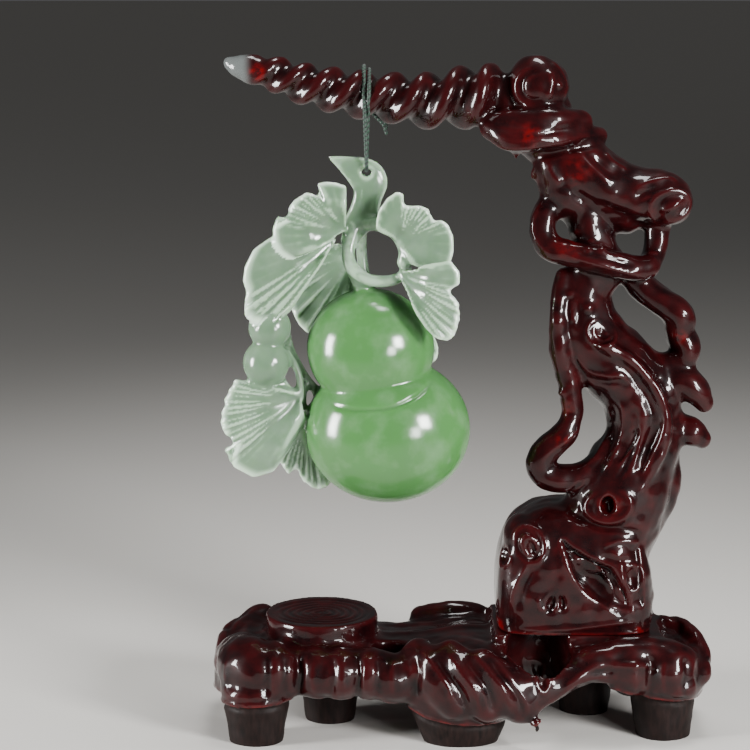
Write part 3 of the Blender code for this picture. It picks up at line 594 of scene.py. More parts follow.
def line_distance(line: Sequence[tuple], flat: np.ndarray) -> tuple[np.ndarray, np.ndarray]:
    """Measures points against a smooth line in the same plane.

    Args:
        line: Points of the line.
        flat: Points to measure, one row each.

    Returns:
        The distance of each point from the line, and how far along the line it is, from 0 to 1.
    """
    route = np.array([tuple(point) for point in smooth_route(line, 6)])
    best = np.full(len(flat), 1e9)
    along = np.zeros(len(flat))
    steps = np.linalg.norm(np.diff(route, axis=0), axis=1)
    total = steps.sum()
    done = 0.0
    for index, length in enumerate(steps):
        start = route[index]
        run = (route[index + 1] - start) / max(length, 1e-9)
        offset = flat - start
        share = np.clip(offset @ run, 0.0, length)
        distance = np.linalg.norm(offset - share[:, None] * run, axis=1)
        nearer = distance < best
        best[nearer] = distance[nearer]
        along[nearer] = (done + share[nearer]) / total
        done += length
    return best, along


def stroke_lift(stroke: Stroke, drawn: np.ndarray, normals: np.ndarray) -> np.ndarray:
    """Finds how far a stroke lifts each point of a surface.

    Args:
        stroke: The stroke.
        drawn: Points in the drawing's millimetres.
        normals: Their normals.

    Returns:
        The lift of each point in millimetres.
    """
    columns = (0, 2)
    if stroke.face is Face.UP:
        columns = (0, 1)
    if stroke.face in (Face.LEFT, Face.RIGHT):
        columns = (1, 2)
    flat = drawn[:, columns].copy()
    if stroke.face is Face.FRONT:
        flat[:, 1] += SIGHT_SLOPE * drawn[:, 1]
    reach = stroke.width * 2.5
    line = np.array([point[:2] for point in stroke.line])
    low = line.min(axis=0) - reach
    high = line.max(axis=0) + reach
    facing = normals @ np.array(stroke.face.value)
    near = np.flatnonzero(((flat > low) & (flat < high)).all(axis=1) & (facing > FACING_RANGE[0]))
    lift = np.zeros(len(drawn))
    if not len(near):
        return lift
    distance, along = line_distance(stroke.line, flat[near])
    section = np.exp(-((distance / stroke.width) ** stroke.cut.value) * 1.4)
    if stroke.taper:
        section = section * ramp(along, -0.02, 0.22) * ramp(-along, -1.02, -0.78)
    lift[near] = stroke.height * section * ramp(facing[near], *FACING_RANGE)
    return lift


def convexity(mesh: bpy.types.Mesh, rounds: int) -> np.ndarray:
    """Measures how far each vertex stands out of its neighbours.

    Args:
        mesh: A mesh of even faces.
        rounds: Rounds of evening out.

    Returns:
        A value for each vertex, about -1 in creases and 1 on crests.
    """
    places, normals = read_mesh(mesh)
    edges = np.empty(len(mesh.edges) * 2, dtype=np.int64)
    mesh.edges.foreach_get("vertices", edges)
    edges = edges.reshape(-1, 2)
    count = np.bincount(edges.ravel(), minlength=len(places)).astype(float)
    spans = np.linalg.norm(places[edges[:, 0]] - places[edges[:, 1]], axis=1).mean()

    def around(values: np.ndarray) -> np.ndarray:
        """Averages a value over each vertex's neighbours."""
        total = np.bincount(edges[:, 0], weights=values[edges[:, 1]], minlength=len(places))
        total += np.bincount(edges[:, 1], weights=values[edges[:, 0]], minlength=len(places))
        return total / count

    middle = np.stack([around(places[:, axis]) for axis in range(3)], axis=1)
    stand = ((places - middle) * normals).sum(axis=1) / spans
    for _ in range(rounds):
        stand = 0.5 * stand + 0.5 * around(stand)
    return np.clip(stand * 12.0, -1.0, 1.0)


def set_attribute(mesh: bpy.types.Mesh, name: str, values: np.ndarray) -> None:
    """Stores a value from 0 to 1 for each vertex under a name that a material reads."""
    layer = mesh.attributes.new(name, "FLOAT", "POINT")
    layer.data.foreach_set("value", np.clip(values, 0.0, 1.0).astype(np.float32))


def mark_crests(mesh: bpy.types.Mesh) -> None:
    """Stores where the lacquer is rubbed thin on the wood's crests."""
    set_attribute(mesh, "crest", ramp(convexity(mesh, 3), 0.1, 0.9) * 0.6)


def linear(colour: str) -> tuple[float, float, float, float]:
    """Turns an sRGB hex colour into linear values with an alpha of 1."""
    values = []
    for start in (1, 3, 5):
        value = int(colour[start : start + 2], 16) / 255
        values.append(value / 12.92 if value <= 0.04045 else ((value + 0.055) / 1.055) ** 2.4)
    return (*values, 1.0)


def add_node(
    material: bpy.types.Material, kind: str, values: Optional[dict] = None, links: Optional[dict] = None,
    **settings: object,
) -> bpy.types.Node:
    """Adds one node to a material.

    Args:
        material: The material.
        kind: Blender's name for the node.
        values: What its inputs are set to, by name or number.
        links: The sockets that feed its inputs, by name or number.
        **settings: Its own settings.

    Returns:
        The node.
    """
    tree = material.node_tree
    node = tree.nodes.new(kind)
    for name, setting in settings.items():
        setattr(node, name, setting)
    for name, value in (values or {}).items():
        node.inputs[name].default_value = value
    for name, socket in (links or {}).items():
        tree.links.new(socket, node.inputs[name])
    return node


def add_ramp(
    material: bpy.types.Material, source: bpy.types.NodeSocket, stops: Sequence[tuple[float, tuple]]
) -> bpy.types.NodeSocket:
    """Adds a colour ramp and gives back its colour socket."""
    node = add_node(material, "ShaderNodeValToRGB", links={"Fac": source})
    while len(node.color_ramp.elements) < len(stops):
        node.color_ramp.elements.new(0.5)
    for element, (position, colour) in zip(node.color_ramp.elements, stops):
        element.position = position
        element.color = colour
    return node.outputs["Color"]


def grey(value: float) -> tuple[float, float, float, float]:
    """Gives a grey for a ramp that only carries a value."""
    return (value, value, value, 1.0)


def attribute(material: bpy.types.Material, name: str) -> bpy.types.NodeSocket:
    """Reads a value that the mesh holds for each vertex."""
    return add_node(material, "ShaderNodeAttribute", attribute_name=name).outputs["Fac"]


def add_noise(
    material: bpy.types.Material, place: bpy.types.NodeSocket, size_mm: float, detail: float
) -> bpy.types.NodeSocket:
    """Adds cloudy noise with swellings of about a size in millimetres."""
    values = {"Scale": 1 / (size_mm * MM), "Detail": detail}
    return add_node(material, "ShaderNodeTexNoise", values, {"Vector": place}).outputs["Fac"]


def add_math(
    material: bpy.types.Material, operation: str, first: bpy.types.NodeSocket, second: bpy.types.NodeSocket
) -> bpy.types.NodeSocket:
    """Works one value out of two others."""
    links = {0: first, 1: second}
    return add_node(material, "ShaderNodeMath", links=links, operation=operation).outputs["Value"]


def add_range(
    material: bpy.types.Material, value: bpy.types.NodeSocket, low: float, high: float
) -> bpy.types.NodeSocket:
    """Turns a value from 0 to 1 into one from low to high."""
    values = {"To Min": low, "To Max": high}
    return add_node(material, "ShaderNodeMapRange", values, {"Value": value}).outputs["Result"]


def add_mix(
    material: bpy.types.Material, base: bpy.types.NodeSocket, share: bpy.types.NodeSocket, colour: str
) -> bpy.types.NodeSocket:
    """Mixes a colour over another one by a share."""
    links = {"A": base, "Factor": share}
    return add_node(
        material, "ShaderNodeMix", {"B": linear(colour)}, links, data_type="RGBA"
    ).outputs["Result"]


def add_bump(
    material: bpy.types.Material, height: bpy.types.NodeSocket, strength: float, distance: float
) -> bpy.types.NodeSocket:
    """Bends the light as a relief would, of a strength and a height in metres."""
    values = {"Strength": strength, "Distance": distance}
    return add_node(material, "ShaderNodeBump", values, {"Height": height}).outputs["Normal"]


def new_material(name: str) -> tuple[bpy.types.Material, bpy.types.Node]:
    """Makes a material with nodes and gives it back with its shader."""
    material = bpy.data.materials.new(name)
    material.use_nodes = True
    return material, material.node_tree.nodes["Principled BSDF"]


def finish_shader(
    material: bpy.types.Material, shader: bpy.types.Node, links: dict[str, bpy.types.NodeSocket],
    values: dict[str, object],
) -> bpy.types.Material:
    """Feeds and sets the inputs of a material's shader, and gives the material back."""
    for name, socket in links.items():
        material.node_tree.links.new(socket, shader.inputs[name])
    for name, value in values.items():
        shader.inputs[name].default_value = value
    return material


@dataclass(frozen=True)
class RootLacquer:
    """Oxblood lacquer, brushed thick over carved root wood.

    It pools dark in the hollows, thins to a brighter red on crests and rims, and its clear top
    coat mirrors the lights with hard edges.
    """

    deep: str = "#0c0203"
    body: str = "#1c0405"
    worn: str = "#2f0709"
    bright: str = "#8a060b"
    dusty: str = "#575b5a"
    mottle_mm: float = 7.0
    ripple_mm: float = 11.2
    patch_mm: float = 3.2
    fleck_mm: float = 0.6
    roughness: float = 0.35
    coat_ior: float = 1.37

    def make(self) -> bpy.types.Material:
        """Builds the material."""
        material, shader = new_material("oxblood_lacquer_on_root_wood")
        place = add_node(material, "ShaderNodeTexCoord").outputs["Object"]
        mottle = add_noise(material, place, self.mottle_mm, 4.0)
        tones = [(0.32, linear(self.deep)), (0.55, linear(self.body)), (0.80, linear(self.worn))]
        fleck = add_noise(material, place, self.fleck_mm, 2.0)
        specks = add_ramp(material, fleck, [(0.5, grey(0.0)), (0.8, grey(0.25))])
        patches = add_noise(material, place, self.patch_mm, 5.0)
        broken = add_ramp(material, patches, [(0.40, grey(0.05)), (0.60, grey(1.0))])
        patchy = add_math(material, "MULTIPLY", attribute(material, "thin"), broken)
        speckled = add_mix(material, add_ramp(material, mottle, tones), specks, self.worn)
        crested = add_mix(material, speckled, attribute(material, "crest"), self.worn)
        reddened = add_mix(material, crested, patchy, self.bright)
        finished = add_mix(material, reddened, attribute(material, "rubbed"), self.dusty)
        bump = add_bump(material, add_noise(material, place, self.ripple_mm, 2.0), 0.35, 0.0005)
        return finish_shader(
            material, shader, {"Base Color": finished, "Normal": bump, "Coat Normal": bump},
            {"Roughness": self.roughness, "IOR": 1.5, "Specular IOR Level": 0.06, "Coat Weight": 0.9,
             "Coat Roughness": 0.03, "Coat IOR": self.coat_ior},
        )


@dataclass(frozen=True)
class BareFoot:
    """Root wood under the lacquer's edge, stained and left matt."""

    dark: str = "#0d0807"
    light: str = "#1f1412"
    grain_mm: float = 1.4
    roughness: float = 0.55

    def make(self) -> bpy.types.Material:
        """Builds the material."""
        material, shader = new_material("stained_matt_wood")
        place = add_node(material, "ShaderNodeTexCoord").outputs["Object"]
        stretch = add_node(
            material, "ShaderNodeMapping", {"Scale": (1.0, 1.0, 0.22)}, {"Vector": place}
        ).outputs["Vector"]
        grain = add_noise(material, stretch, self.grain_mm, 6.0)
        tone = add_ramp(material, grain, [(0.3, linear(self.dark)), (0.75, linear(self.light))])
        return finish_shader(
            material, shader, {"Base Color": tone, "Normal": add_bump(material, grain, 0.5, 0.0002)},
            {"Roughness": self.roughness, "Specular IOR Level": 0.12},
        )


@dataclass(frozen=True)
class Serpentine:
    """Polished serpentine jade: pale, cloudy and lit from within. Its leaf rims and crests are lightened
    toward the cloud colour as a painted highlight.
    """

    gourd: str = "#467640"
    leaf: str = "#8bab8c"
    # The cloud colour tints the stone's real wisps, and is also the painted highlight on leaf rims and
    # crests.
    cloud: str = "#c4d8c4"
    cloud_mm: float = 9.0
    roughness: float = 0.17
    ior: float = 1.56
    depth_mm: float = 3.0
    leaf_clearness: float = 0.62

    def make(self) -> bpy.types.Material:
        """Builds the material."""
        material, shader = new_material("polished_serpentine_jade")
        place = add_node(material, "ShaderNodeTexCoord").outputs["Object"]
        green = attribute(material, "green")
        # Painted highlight: crests and leaf rims are mixed toward the cloud colour below, and let less light
        # through.
        rim = add_math(material, "MAXIMUM", attribute(material, "crest"), attribute(material, "edge"))
        stone = add_node(
            material, "ShaderNodeMix", {"A": linear(self.leaf), "B": linear(self.gourd)}, {"Factor": green},
            data_type="RGBA",
        ).outputs["Result"]
        cloud = add_noise(material, place, self.cloud_mm, 3.0)
        wisps = add_ramp(material, cloud, [(0.48, grey(0.0)), (0.75, grey(0.30))])
        share = add_math(material, "MULTIPLY", wisps, add_range(material, green, 1.0, 0.3))
        clouded = add_mix(material, stone, share, self.cloud)
        solid = add_math(material, "MAXIMUM", green, rim)
        # The base colour carries the wisps and the painted rim and crest highlight.
        links = {
            "Base Color": add_mix(material, clouded, rim, self.cloud),
            "Transmission Weight": add_range(material, solid, self.leaf_clearness, 0.05),
        }
        return finish_shader(
            material, shader, links,
            {"Subsurface Weight": 0.85, "Subsurface Radius": (0.75, 1.0, 0.6),
             "Subsurface Scale": self.depth_mm * MM, "Roughness": self.roughness, "IOR": self.ior},
        )


@dataclass(frozen=True)
class TwistedThread:
    """Dyed nylon thread, laid in a tight twist that catches the light in small slanted turns."""

    colour: str = "#0f3020"
    shade: str = "#04150c"
    turn_mm: float = 1.3

    def make(self) -> bpy.types.Material:
        """Builds the material."""
        material, shader = new_material("dark_green_twisted_thread")
        place = add_node(material, "ShaderNodeTexCoord").outputs["Object"]
        slant = add_node(
            material, "ShaderNodeMapping", {"Rotation": (0.5, 0.6, 0.4)}, {"Vector": place}
        ).outputs["Vector"]
        turns = add_node(
            material, "ShaderNodeTexWave", {"Scale": 0.31 / (self.turn_mm * MM), "Distortion": 1.0},
            {"Vector": slant}, bands_direction="Z",
        ).outputs["Fac"]
        tone = add_ramp(material, turns, [(0.2, linear(self.shade)), (0.8, linear(self.colour))])
        return finish_shader(
            material, shader, {"Base Color": tone, "Normal": add_bump(material, turns, 0.7, 0.0002)},
            {"Roughness": 0.6, "Sheen Weight": 0.1},
        )


@dataclass(frozen=True)
class Finishes:
    """The stand's and the carving's materials, made once."""

    lacquer: bpy.types.Material
    foot: bpy.types.Material
    jade: bpy.types.Material
    thread: bpy.types.Material


@dataclass
class RootUpright:
    """The carved upright: block foot, knotted trunk, collar, ball and twisted arm."""

    x: float = 0.045
    y: float = 0.006
    pad_top: float = 0.0363
    height: float = 0.2062
    foot_length: float = 0.057
    foot_depth: float = 0.042
    foot_offset: float = -0.0025
    crest_spacing: float = 0.0092
    crest_depth: float = 0.40
    first_crest: float = 17.0
    fit_gap: float = 0.0003
    rubbed_length: float = 0.0045
    rubbed_fade: float = 0.0085
    rough_grain: float = 0.0010
    grain: float = 0.00072
    swellings: Sequence[tuple[float, float]] = ((9.0, 0.7), (4.2, 0.30))
    calm_left_of: float = -24.0
    drawn_height: float = 206.2
    arm: Sequence[Station] = (
        (-126.9, 0, 203.0, 2.5), (-123.1, 0, 201.6, 4.7), (-111.8, 0, 199.2, 6.8), (-102.0, 0, 196.0, 7.9),
        (-92.9, 0, 193.9, 8.6), (-83.0, 0, 192.2, 9.2), (-72.8, 0, 191.1, 9.5), (-60.4, 0, 189.7, 10.4),
        (-47.8, 0, 190.4, 11.5), (-37.0, 0, 192.0, 12.2), (-30.0, 0, 193.5, 9.5),
    )
    ball: Station = (-18.4, -3, 195.3, 10.9)
    drawing: Drawing = field(init=False)

    def __post_init__(self) -> None:
        """Sets the drawing up on the foot's centre."""
        grid = self.height / self.drawn_height
        self.drawing = Drawing((self.x, self.y, self.pad_top), (grid, grid, grid))

    def limbs(self) -> list[Limb]:
        """Lists the trunk's limbs in the drawing."""
        neck = (
            (-18.2, 0, 195.3, 7.2), (-13.2, 0, 185.5, 7.2), (-10.2, 0, 176.3, 9.4), (-5.9, 0, 168.5, 11.5),
            (4.2, 0, 160.7, 11.5), (14.2, 0, 156.7, 10.8), (24.6, -3, 156.4, 9.4), (28.8, -4, 154.6, 8.6),
        )
        throat = ((-27.0, 2, 189.0, 9.0), (-23.0, 1, 181.0, 8.5), (-14.0, 1, 175.0, 9.5))
        collar = (
            (-35.0, -8, 180.5, 4.2), (-27.5, -13, 178.0, 5.0), (-15.5, -12, 178.4, 4.9),
            (-5.0, -5, 178.8, 4.6), (3.6, 3, 176.8, 3.4),
        )
        plate = (
            (-34.0, -7, 183.0, 3.4), (-25.0, -11, 183.5, 4.4), (-14.0, -11, 184.0, 4.6),
            (-3.0, -4, 183.0, 4.0),
        )
        drips = (
            ((-26.3, -12, 174.0, 1.7), (-26.3, -12, 171.6, 1.3), (-26.3, -12, 170.4, 1.0)),
            ((-19.0, -4, 165.5, 1.7), (-20.2, -4, 163.6, 1.3), (-20.6, -4, 162.6, 1.0)),
        )
        shoulder = (
            (-11.5, -2, 167.0, 8.6), (-7.2, -1, 156.5, 8.6), (1.0, 2, 152.0, 8.5), (14.0, 2, 151.0, 8.5),
        )
        belt = (
            (-12.5, -2, 154.5, 5.2), (-16.3, -6, 147.2, 4.9), (-14.9, -8, 140.0, 4.9),
            (-7.6, -10, 137.0, 4.9), (5.4, -12, 133.9, 4.9), (19.0, -8, 131.0, 4.6),
            (23.4, -2, 134.6, 4.2), (24.9, 0, 143.2, 4.8), (25.0, 0, 150.7, 6.4),
        )
        web = ((-1.0, 1, 156.0, 8.4), (0.2, 0, 147.0, 7.8), (2.4, -1, 139.0, 7.8), (4.7, 0, 130.0, 8.4))
        stem = (
            (4.7, 0, 131.0, 9.4), (-0.9, 0, 122.0, 10.2), (-0.9, 0, 111.1, 11.9), (3.6, 0, 103.0, 12.8),
            (10.5, 0, 95.4, 14.0), (18.2, 0, 87.0, 13.8), (21.6, 0, 76.0, 13.8), (20.8, 0, 66.0, 14.2),
            (17.0, 0, 56.0, 16.4), (12.6, 0, 45.0, 18.6), (8.0, 0, 33.0, 18.4), (4.0, 0, 22.0, 18.0),
        )
        tendril = (
            (-8.6, -4, 128.0, 3.2), (-10.6, -8, 116.0, 3.2), (-10.0, -8, 103.4, 3.8), (-7.4, -6, 93.3, 4.2),
            (-5.6, -6, 84.9, 4.2), (-4.9, -6, 77.6, 4.3), (-8.4, -8, 70.8, 5.0), (-14.4, -8, 64.9, 5.2),
            (-16.3, -8, 58.8, 5.2), (-11.0, -8, 54.6, 5.2), (0.6, -6, 55.6, 6.0), (10.9, -4, 62.4, 6.0),
        )
        long_ridge = (
            (5.0, -13, 104.5, 2.2), (18.3, -12, 96.0, 2.3), (26.0, -12, 84.6, 2.5), (28.4, -12, 75.8, 2.5),
            (26.4, -13, 66.0, 2.5), (19.4, -14, 52.0, 2.2),
        )
        chain = (
            (18.0, 2, 125.0, 5.2), (26.0, 0, 118.6, 5.4), (33.2, -2, 113.6, 5.8), (33.6, 0, 107.0, 5.4),
            (36.4, 0, 100.8, 5.6), (33.6, 0, 95.6, 4.6), (24.0, 0, 95.4, 4.0),
        )
        upper_horn = (
            (28.5, 0, 91.5, 5.8), (36.2, -2, 88.9, 6.4), (40.6, -3, 84.8, 5.2), (42.9, -3, 81.6, 3.4),
        )
        lower_horn = ((31.2, 2, 71.6, 5.0), (37.8, 0, 70.6, 5.6), (42.4, 0, 67.6, 3.6))
        side_lobe = ((29.3, 4, 66.2, 5.0), (29.9, 3, 53.4, 6.0), (26.9, 2, 43.4, 6.6), (19.4, 0, 33.4, 7.0))
        return [
            Limb(neck), Limb(throat), Limb(collar), Limb(plate), Limb(shoulder), Limb(belt), Limb(web),
            Limb(stem, 0.95, 28), *(Limb(drip, 1.0, 10) for drip in drips),
            Limb(tendril), Limb(long_ridge), Limb(chain, 1.2), Limb(upper_horn), Limb(lower_horn),
            Limb(side_lobe, 1.1),
        ]

    def hollows(self) -> list[Hollow]:
        """Lists the scooped hollows of the knots and curls."""
        return [
            Hollow((7.8, -21.6, 46.8), (6.8, 5.0, 5.2)),
            Hollow((7.6, -17.5, 47.0), (2.8, 7.0, 3.4)),
            Hollow((-19.5, -23.0, 31.5), (3.2, 6.0, 6.2), -16),
            Hollow((-30.5, -13.0, 27.5), (4.0, 4.5, 3.4)),
            Hollow((16.0, -23.0, 21.0), (3.6, 5.5, 6.8), -8),
            Hollow((1.2, -27.5, 19.6), (7.0, 9.4, 17.0), -38),
            Hollow((-12.6, -21.0, 11.5), (1.5, 2.6, 3.2), 12),
            Hollow((-8.6, -21.0, 12.0), (1.4, 2.6, 2.8), -12),
            Hollow((4.7, -14.5, 108.4), (3.4, 4.6, 4.2), -20),
        ]

    def crests(self, distance: float) -> float:
        """Counts the crests of the twist within a distance from the arm's tip."""
        growth = self.crest_spacing * 0.033
        run = distance - self.first_crest * self.drawing.grid[0]
        if run <= 0:
            return run / self.crest_spacing
        root = math.sqrt(self.crest_spacing**2 + 4 * growth * run)
        return (root - self.crest_spacing) / (2 * growth)

    def twist(self, angle: float, distance: float) -> float:
        """Finds the share of the arm's radius at an angle: two crests wind round it as on a drill."""
        fade = min(1.0, distance / (self.first_crest * self.drawing.grid[0]))
        wave = math.sin(angle + math.pi * self.crests(distance))
        return 1.0 - self.crest_depth * fade * abs(wave) ** 2.5

    def arm_at(self, x: float) -> tuple[Vector, float, float]:
        """Finds the arm's section where it crosses a place along X.

        Args:
            x: The place in metres.

        Returns:
            The section's centre, its radius and its distance from the tip.
        """
        route = smooth_route([self.drawing.station(station) for station in self.arm], 24)
        distance = 0.0
        for first, second in zip(route, route[1:]):
            if second.x >= x:
                share = (x - first.x) / (second.x - first.x)
                here = first.lerp(second, share)
                return Vector(here[:3]), here[3], distance + (here - first).length
            distance += (Vector(second[:3]) - Vector(first[:3])).length
        return Vector(route[-1][:3]), route[-1][3], distance

    def add_block(self, blank: Blank) -> None:
        """Adds the block foot, whose sides are shares of half the foot's length and depth."""
        block = (
            (-6.0, -0.96, 0.93, -1.0, 1.0), (0.0, -1.0, 0.94, -1.0, 1.0), (9.0, -1.03, 0.96, -1.0, 1.0),
            (20.0, -1.02, 0.95, -0.99, 1.0), (28.0, -0.97, 0.86, -0.95, 0.98),
            (35.0, -0.88, 0.8, -0.86, 0.94), (40.0, -0.72, 0.72, -0.7, 0.86),
            (43.5, -0.5, 0.6, -0.45, 0.7), (45.0, -0.22, 0.4, -0.15, 0.4),
        )
        lumps = (
            (-21.0, -6, 33.0, 8.6), (-24.0, -9, 19.0, 7.0), (-8.0, -1, 34.0, 11.0), (18.0, -7, 12.0, 7.6),
        )
        rings = []
        for z, left, right, front, back in smooth_route(block, 6):
            ring = []
            for across, away in boxy_ring(ROUND_SIDES, 0.42):
                x = ((left + right) / 2 + across * (right - left) / 2) * self.foot_length / 2
                y = ((front + back) / 2 + away * (back - front) / 2) * self.foot_depth / 2
                level = self.pad_top + z * self.drawing.grid[2]
                ring.append((self.x + self.foot_offset + x, self.y + y, level))
            rings.append(ring)
        blank.loft(rings)
        for lump in lumps:
            blank.knob(lump, 1.5)

    def trunk_strokes(self) -> list[Stroke]:
        """Lists the flutes, folds and knots of the trunk's front."""
        ridge = ((11.0, 102.7), (18.3, 93.7), (23.7, 87.4), (27.0, 81.1), (27.9, 74.7), (26.0, 67.3),
                 (22.6, 60.1), (19.9, 53.7))
        left_valley = ((8.0, 99.5), (15.2, 90.8), (20.3, 84.4), (22.9, 77.8), (22.7, 71.3), (20.4, 64.1),
                       (16.2, 56.0))
        right_valley = ((25.3, 92.3), (28.3, 85.8), (31.3, 78.5), (31.8, 70.6), (29.5, 62.2))
        rim = ((6.9, 82.8), (8.1, 76.6), (7.2, 68.9), (3.7, 61.6), (-2.0, 56.5))
        rim_valley = ((8.9, 82.1), (10.1, 75.6), (9.1, 67.5), (5.7, 60.2), (0.8, 55.1))
        first_flute = ((10.7, 84.0), (13.0, 76.7), (12.1, 67.6), (8.6, 59.6), (4.1, 53.0))
        second_flute = ((14.9, 82.2), (17.5, 74.9), (16.6, 65.8), (13.2, 57.4), (9.1, 50.8))
        third_flute = ((18.5, 74.9), (19.3, 68.8), (17.7, 60.4), (14.6, 53.8))
        fold = ((-4.8, 99.5), (-0.1, 93.0), (6.2, 91.0), (11.5, 91.0), (15.2, 88.3))
        strokes = [
            Stroke.crisp(ridge, 1.1, 0.8), Stroke(left_valley, 2.2, -1.0),
            Stroke(right_valley, 2.0, -0.9), Stroke.crisp(rim, 0.9, 0.7),
            Stroke(rim_valley, 1.2, -0.7), Stroke.crisp(first_flute, 1.0, 0.6),
            Stroke(second_flute, 1.3, -0.7), Stroke.crisp(third_flute, 0.9, 0.5),
            Stroke.crisp(fold, 1.0, 0.7), Stroke([(x, z - 2.4) for x, z in fold], 1.4, -0.7),
            Stroke.crisp(((-6.4, 119.0), (-5.9, 114.3), (-5.7, 109.6)), 0.9, 0.7),
            Stroke(((-4.1, 119.0), (-3.3, 112.9), (-3.9, 107.5)), 1.0, -0.6),
            Stroke.crisp(((-1.5, 73.1), (-7.1, 67.6), (-13.5, 63.2), (-16.6, 58.8)), 1.0, 0.6),
            Stroke(((-8.0, 46.1), (-1.2, 52.6)), 0.7, -0.5), Stroke(((-5.4, 46.0), (1.7, 52.2)), 0.7, -0.5),
            Stroke.bump((-0.2, 115.4), 2.0, 1.1), Stroke.bump((-6.5, 120.4), 1.6, 0.9),
            Stroke.bump((-11.1, 110.3), 3.0, 0.9), Stroke.bump((-9.0, 84.7), 1.3, 1.2),
            Stroke.ring((4.6, 106.3), (5.4, 4.6), 0.8, 0.9, 120, 430, -35),
            Stroke.ring((4.9, 106.6), (3.5, 2.8), 0.6, 0.7, 170, 400, -35),
            Stroke.ring((5.4, 107.4), (1.9, 1.5), 0.5, 0.5, 190, 380, -35),
        ]
        strokes += [Stroke.bump(place, 1.6, -0.9) for place in ((24.9, 90.1), (29.7, 80.7), (31.7, 70.5))]
        return strokes

    def shoulder_strokes(self) -> list[Stroke]:
        """Lists the folds of the collar, the shoulder, the cut knob and the belt."""
        collar = ((-36.6, 175.9), (-33.1, 172.7), (-27.9, 171.3), (-21.6, 171.7), (-12.2, 173.4),
                  (-0.8, 176.9), (3.0, 175.9))
        collar_top = ((-34.8, 178.2), (-26.8, 175.4), (-16.3, 176.4), (-5.9, 178.9))
        collar_foot = ((-19.7, 169.1), (-11.0, 170.5), (-2.3, 172.6), (4.3, 173.3))
        bar = ((14.4, 157.2), (20.6, 160.0), (26.9, 161.4), (31.5, 160.3))
        belt = ((-7.2, 133.7), (-0.2, 131.6), (8.6, 129.1), (19.2, 126.6))
        belt_top = ((-9.0, 137.2), (-0.2, 134.4), (10.3, 131.6), (17.4, 130.1))
        strut = ((-15.9, 154.5), (-19.0, 149.5), (-20.0, 143.2), (-17.5, 137.5), (-13.2, 133.9))
        knob = (28.0, 151.5)
        strokes = [
            Stroke.crisp(collar, 1.0, 0.8), Stroke(collar_top, 1.5, -0.7),
            Stroke(collar_foot, 1.3, -1.0), Stroke.crisp(bar, 1.3, 0.9),
            Stroke([(x + 1.0, z - 2.8) for x, z in bar[:3]], 1.4, -0.9),
            Stroke(((-5.6, 172.1), (-2.1, 167.8), (3.3, 162.6), (7.5, 158.7)), 1.4, 0.7),
            Stroke(((-0.4, 170.7), (4.3, 165.7), (10.3, 161.5)), 1.5, -0.7),
            Stroke(((4.9, 171.7), (7.8, 167.5), (13.5, 164.0)), 1.2, 0.8),
            Stroke.crisp(((-15.0, 167.2), (-13.1, 162.7), (-9.9, 158.8)), 1.5, 0.8),
            Stroke(((-9.0, 158.3), (3.4, 151.9), (17.5, 146.6), (26.3, 143.8)), 2.0, -0.8),
            Stroke.crisp(belt, 0.9, 1.0), Stroke(belt_top, 1.4, -0.8),
            Stroke.crisp(strut, 1.0, 0.7),
            Stroke(((20.6, 135.3), (24.9, 134.9)), 0.9, 0.7),
            Stroke.ring(knob, (7.2, 5.4), 0.8, 0.8, 30, 390, 20),
            Stroke.ring(knob, (4.4, 2.9), 2.0, -0.7, tilt=20),
            Stroke.crisp(((23.4, 149.4), (28.0, 150.6), (33.2, 154.6)), 0.9, 0.8),
        ]
        lumps = ((-4.7, 142.8), (0.6, 139.2), (4.2, 136.4), (-1.1, 135.6))
        strokes += [Stroke.bump(place, 1.4, 0.9) for place in lumps]
        return strokes

    def ball_strokes(self) -> list[Stroke]:
        """Lists the boss, the ring and the bead on the ball."""
        centre = (-20.4, 193.3)
        band = ((-15.3, 203.6), (-11.1, 199.5), (-8.9, 194.2), (-9.6, 189.0))
        return [
            Stroke.ring(centre, (6.2, 6.6), 1.3, 0.7, 80, 290, 10),
            Stroke.ring(centre, (4.4, 5.0), 1.0, -0.7, 60, 320),
            Stroke(((-15.0, 199.5), (-14.2, 194.0), (-15.6, 188.4)), 1.4, 0.8),
            Stroke.bump((-11.5, 193.9), 1.1, 1.1), Stroke.crisp(band, 1.0, 0.6),
        ]

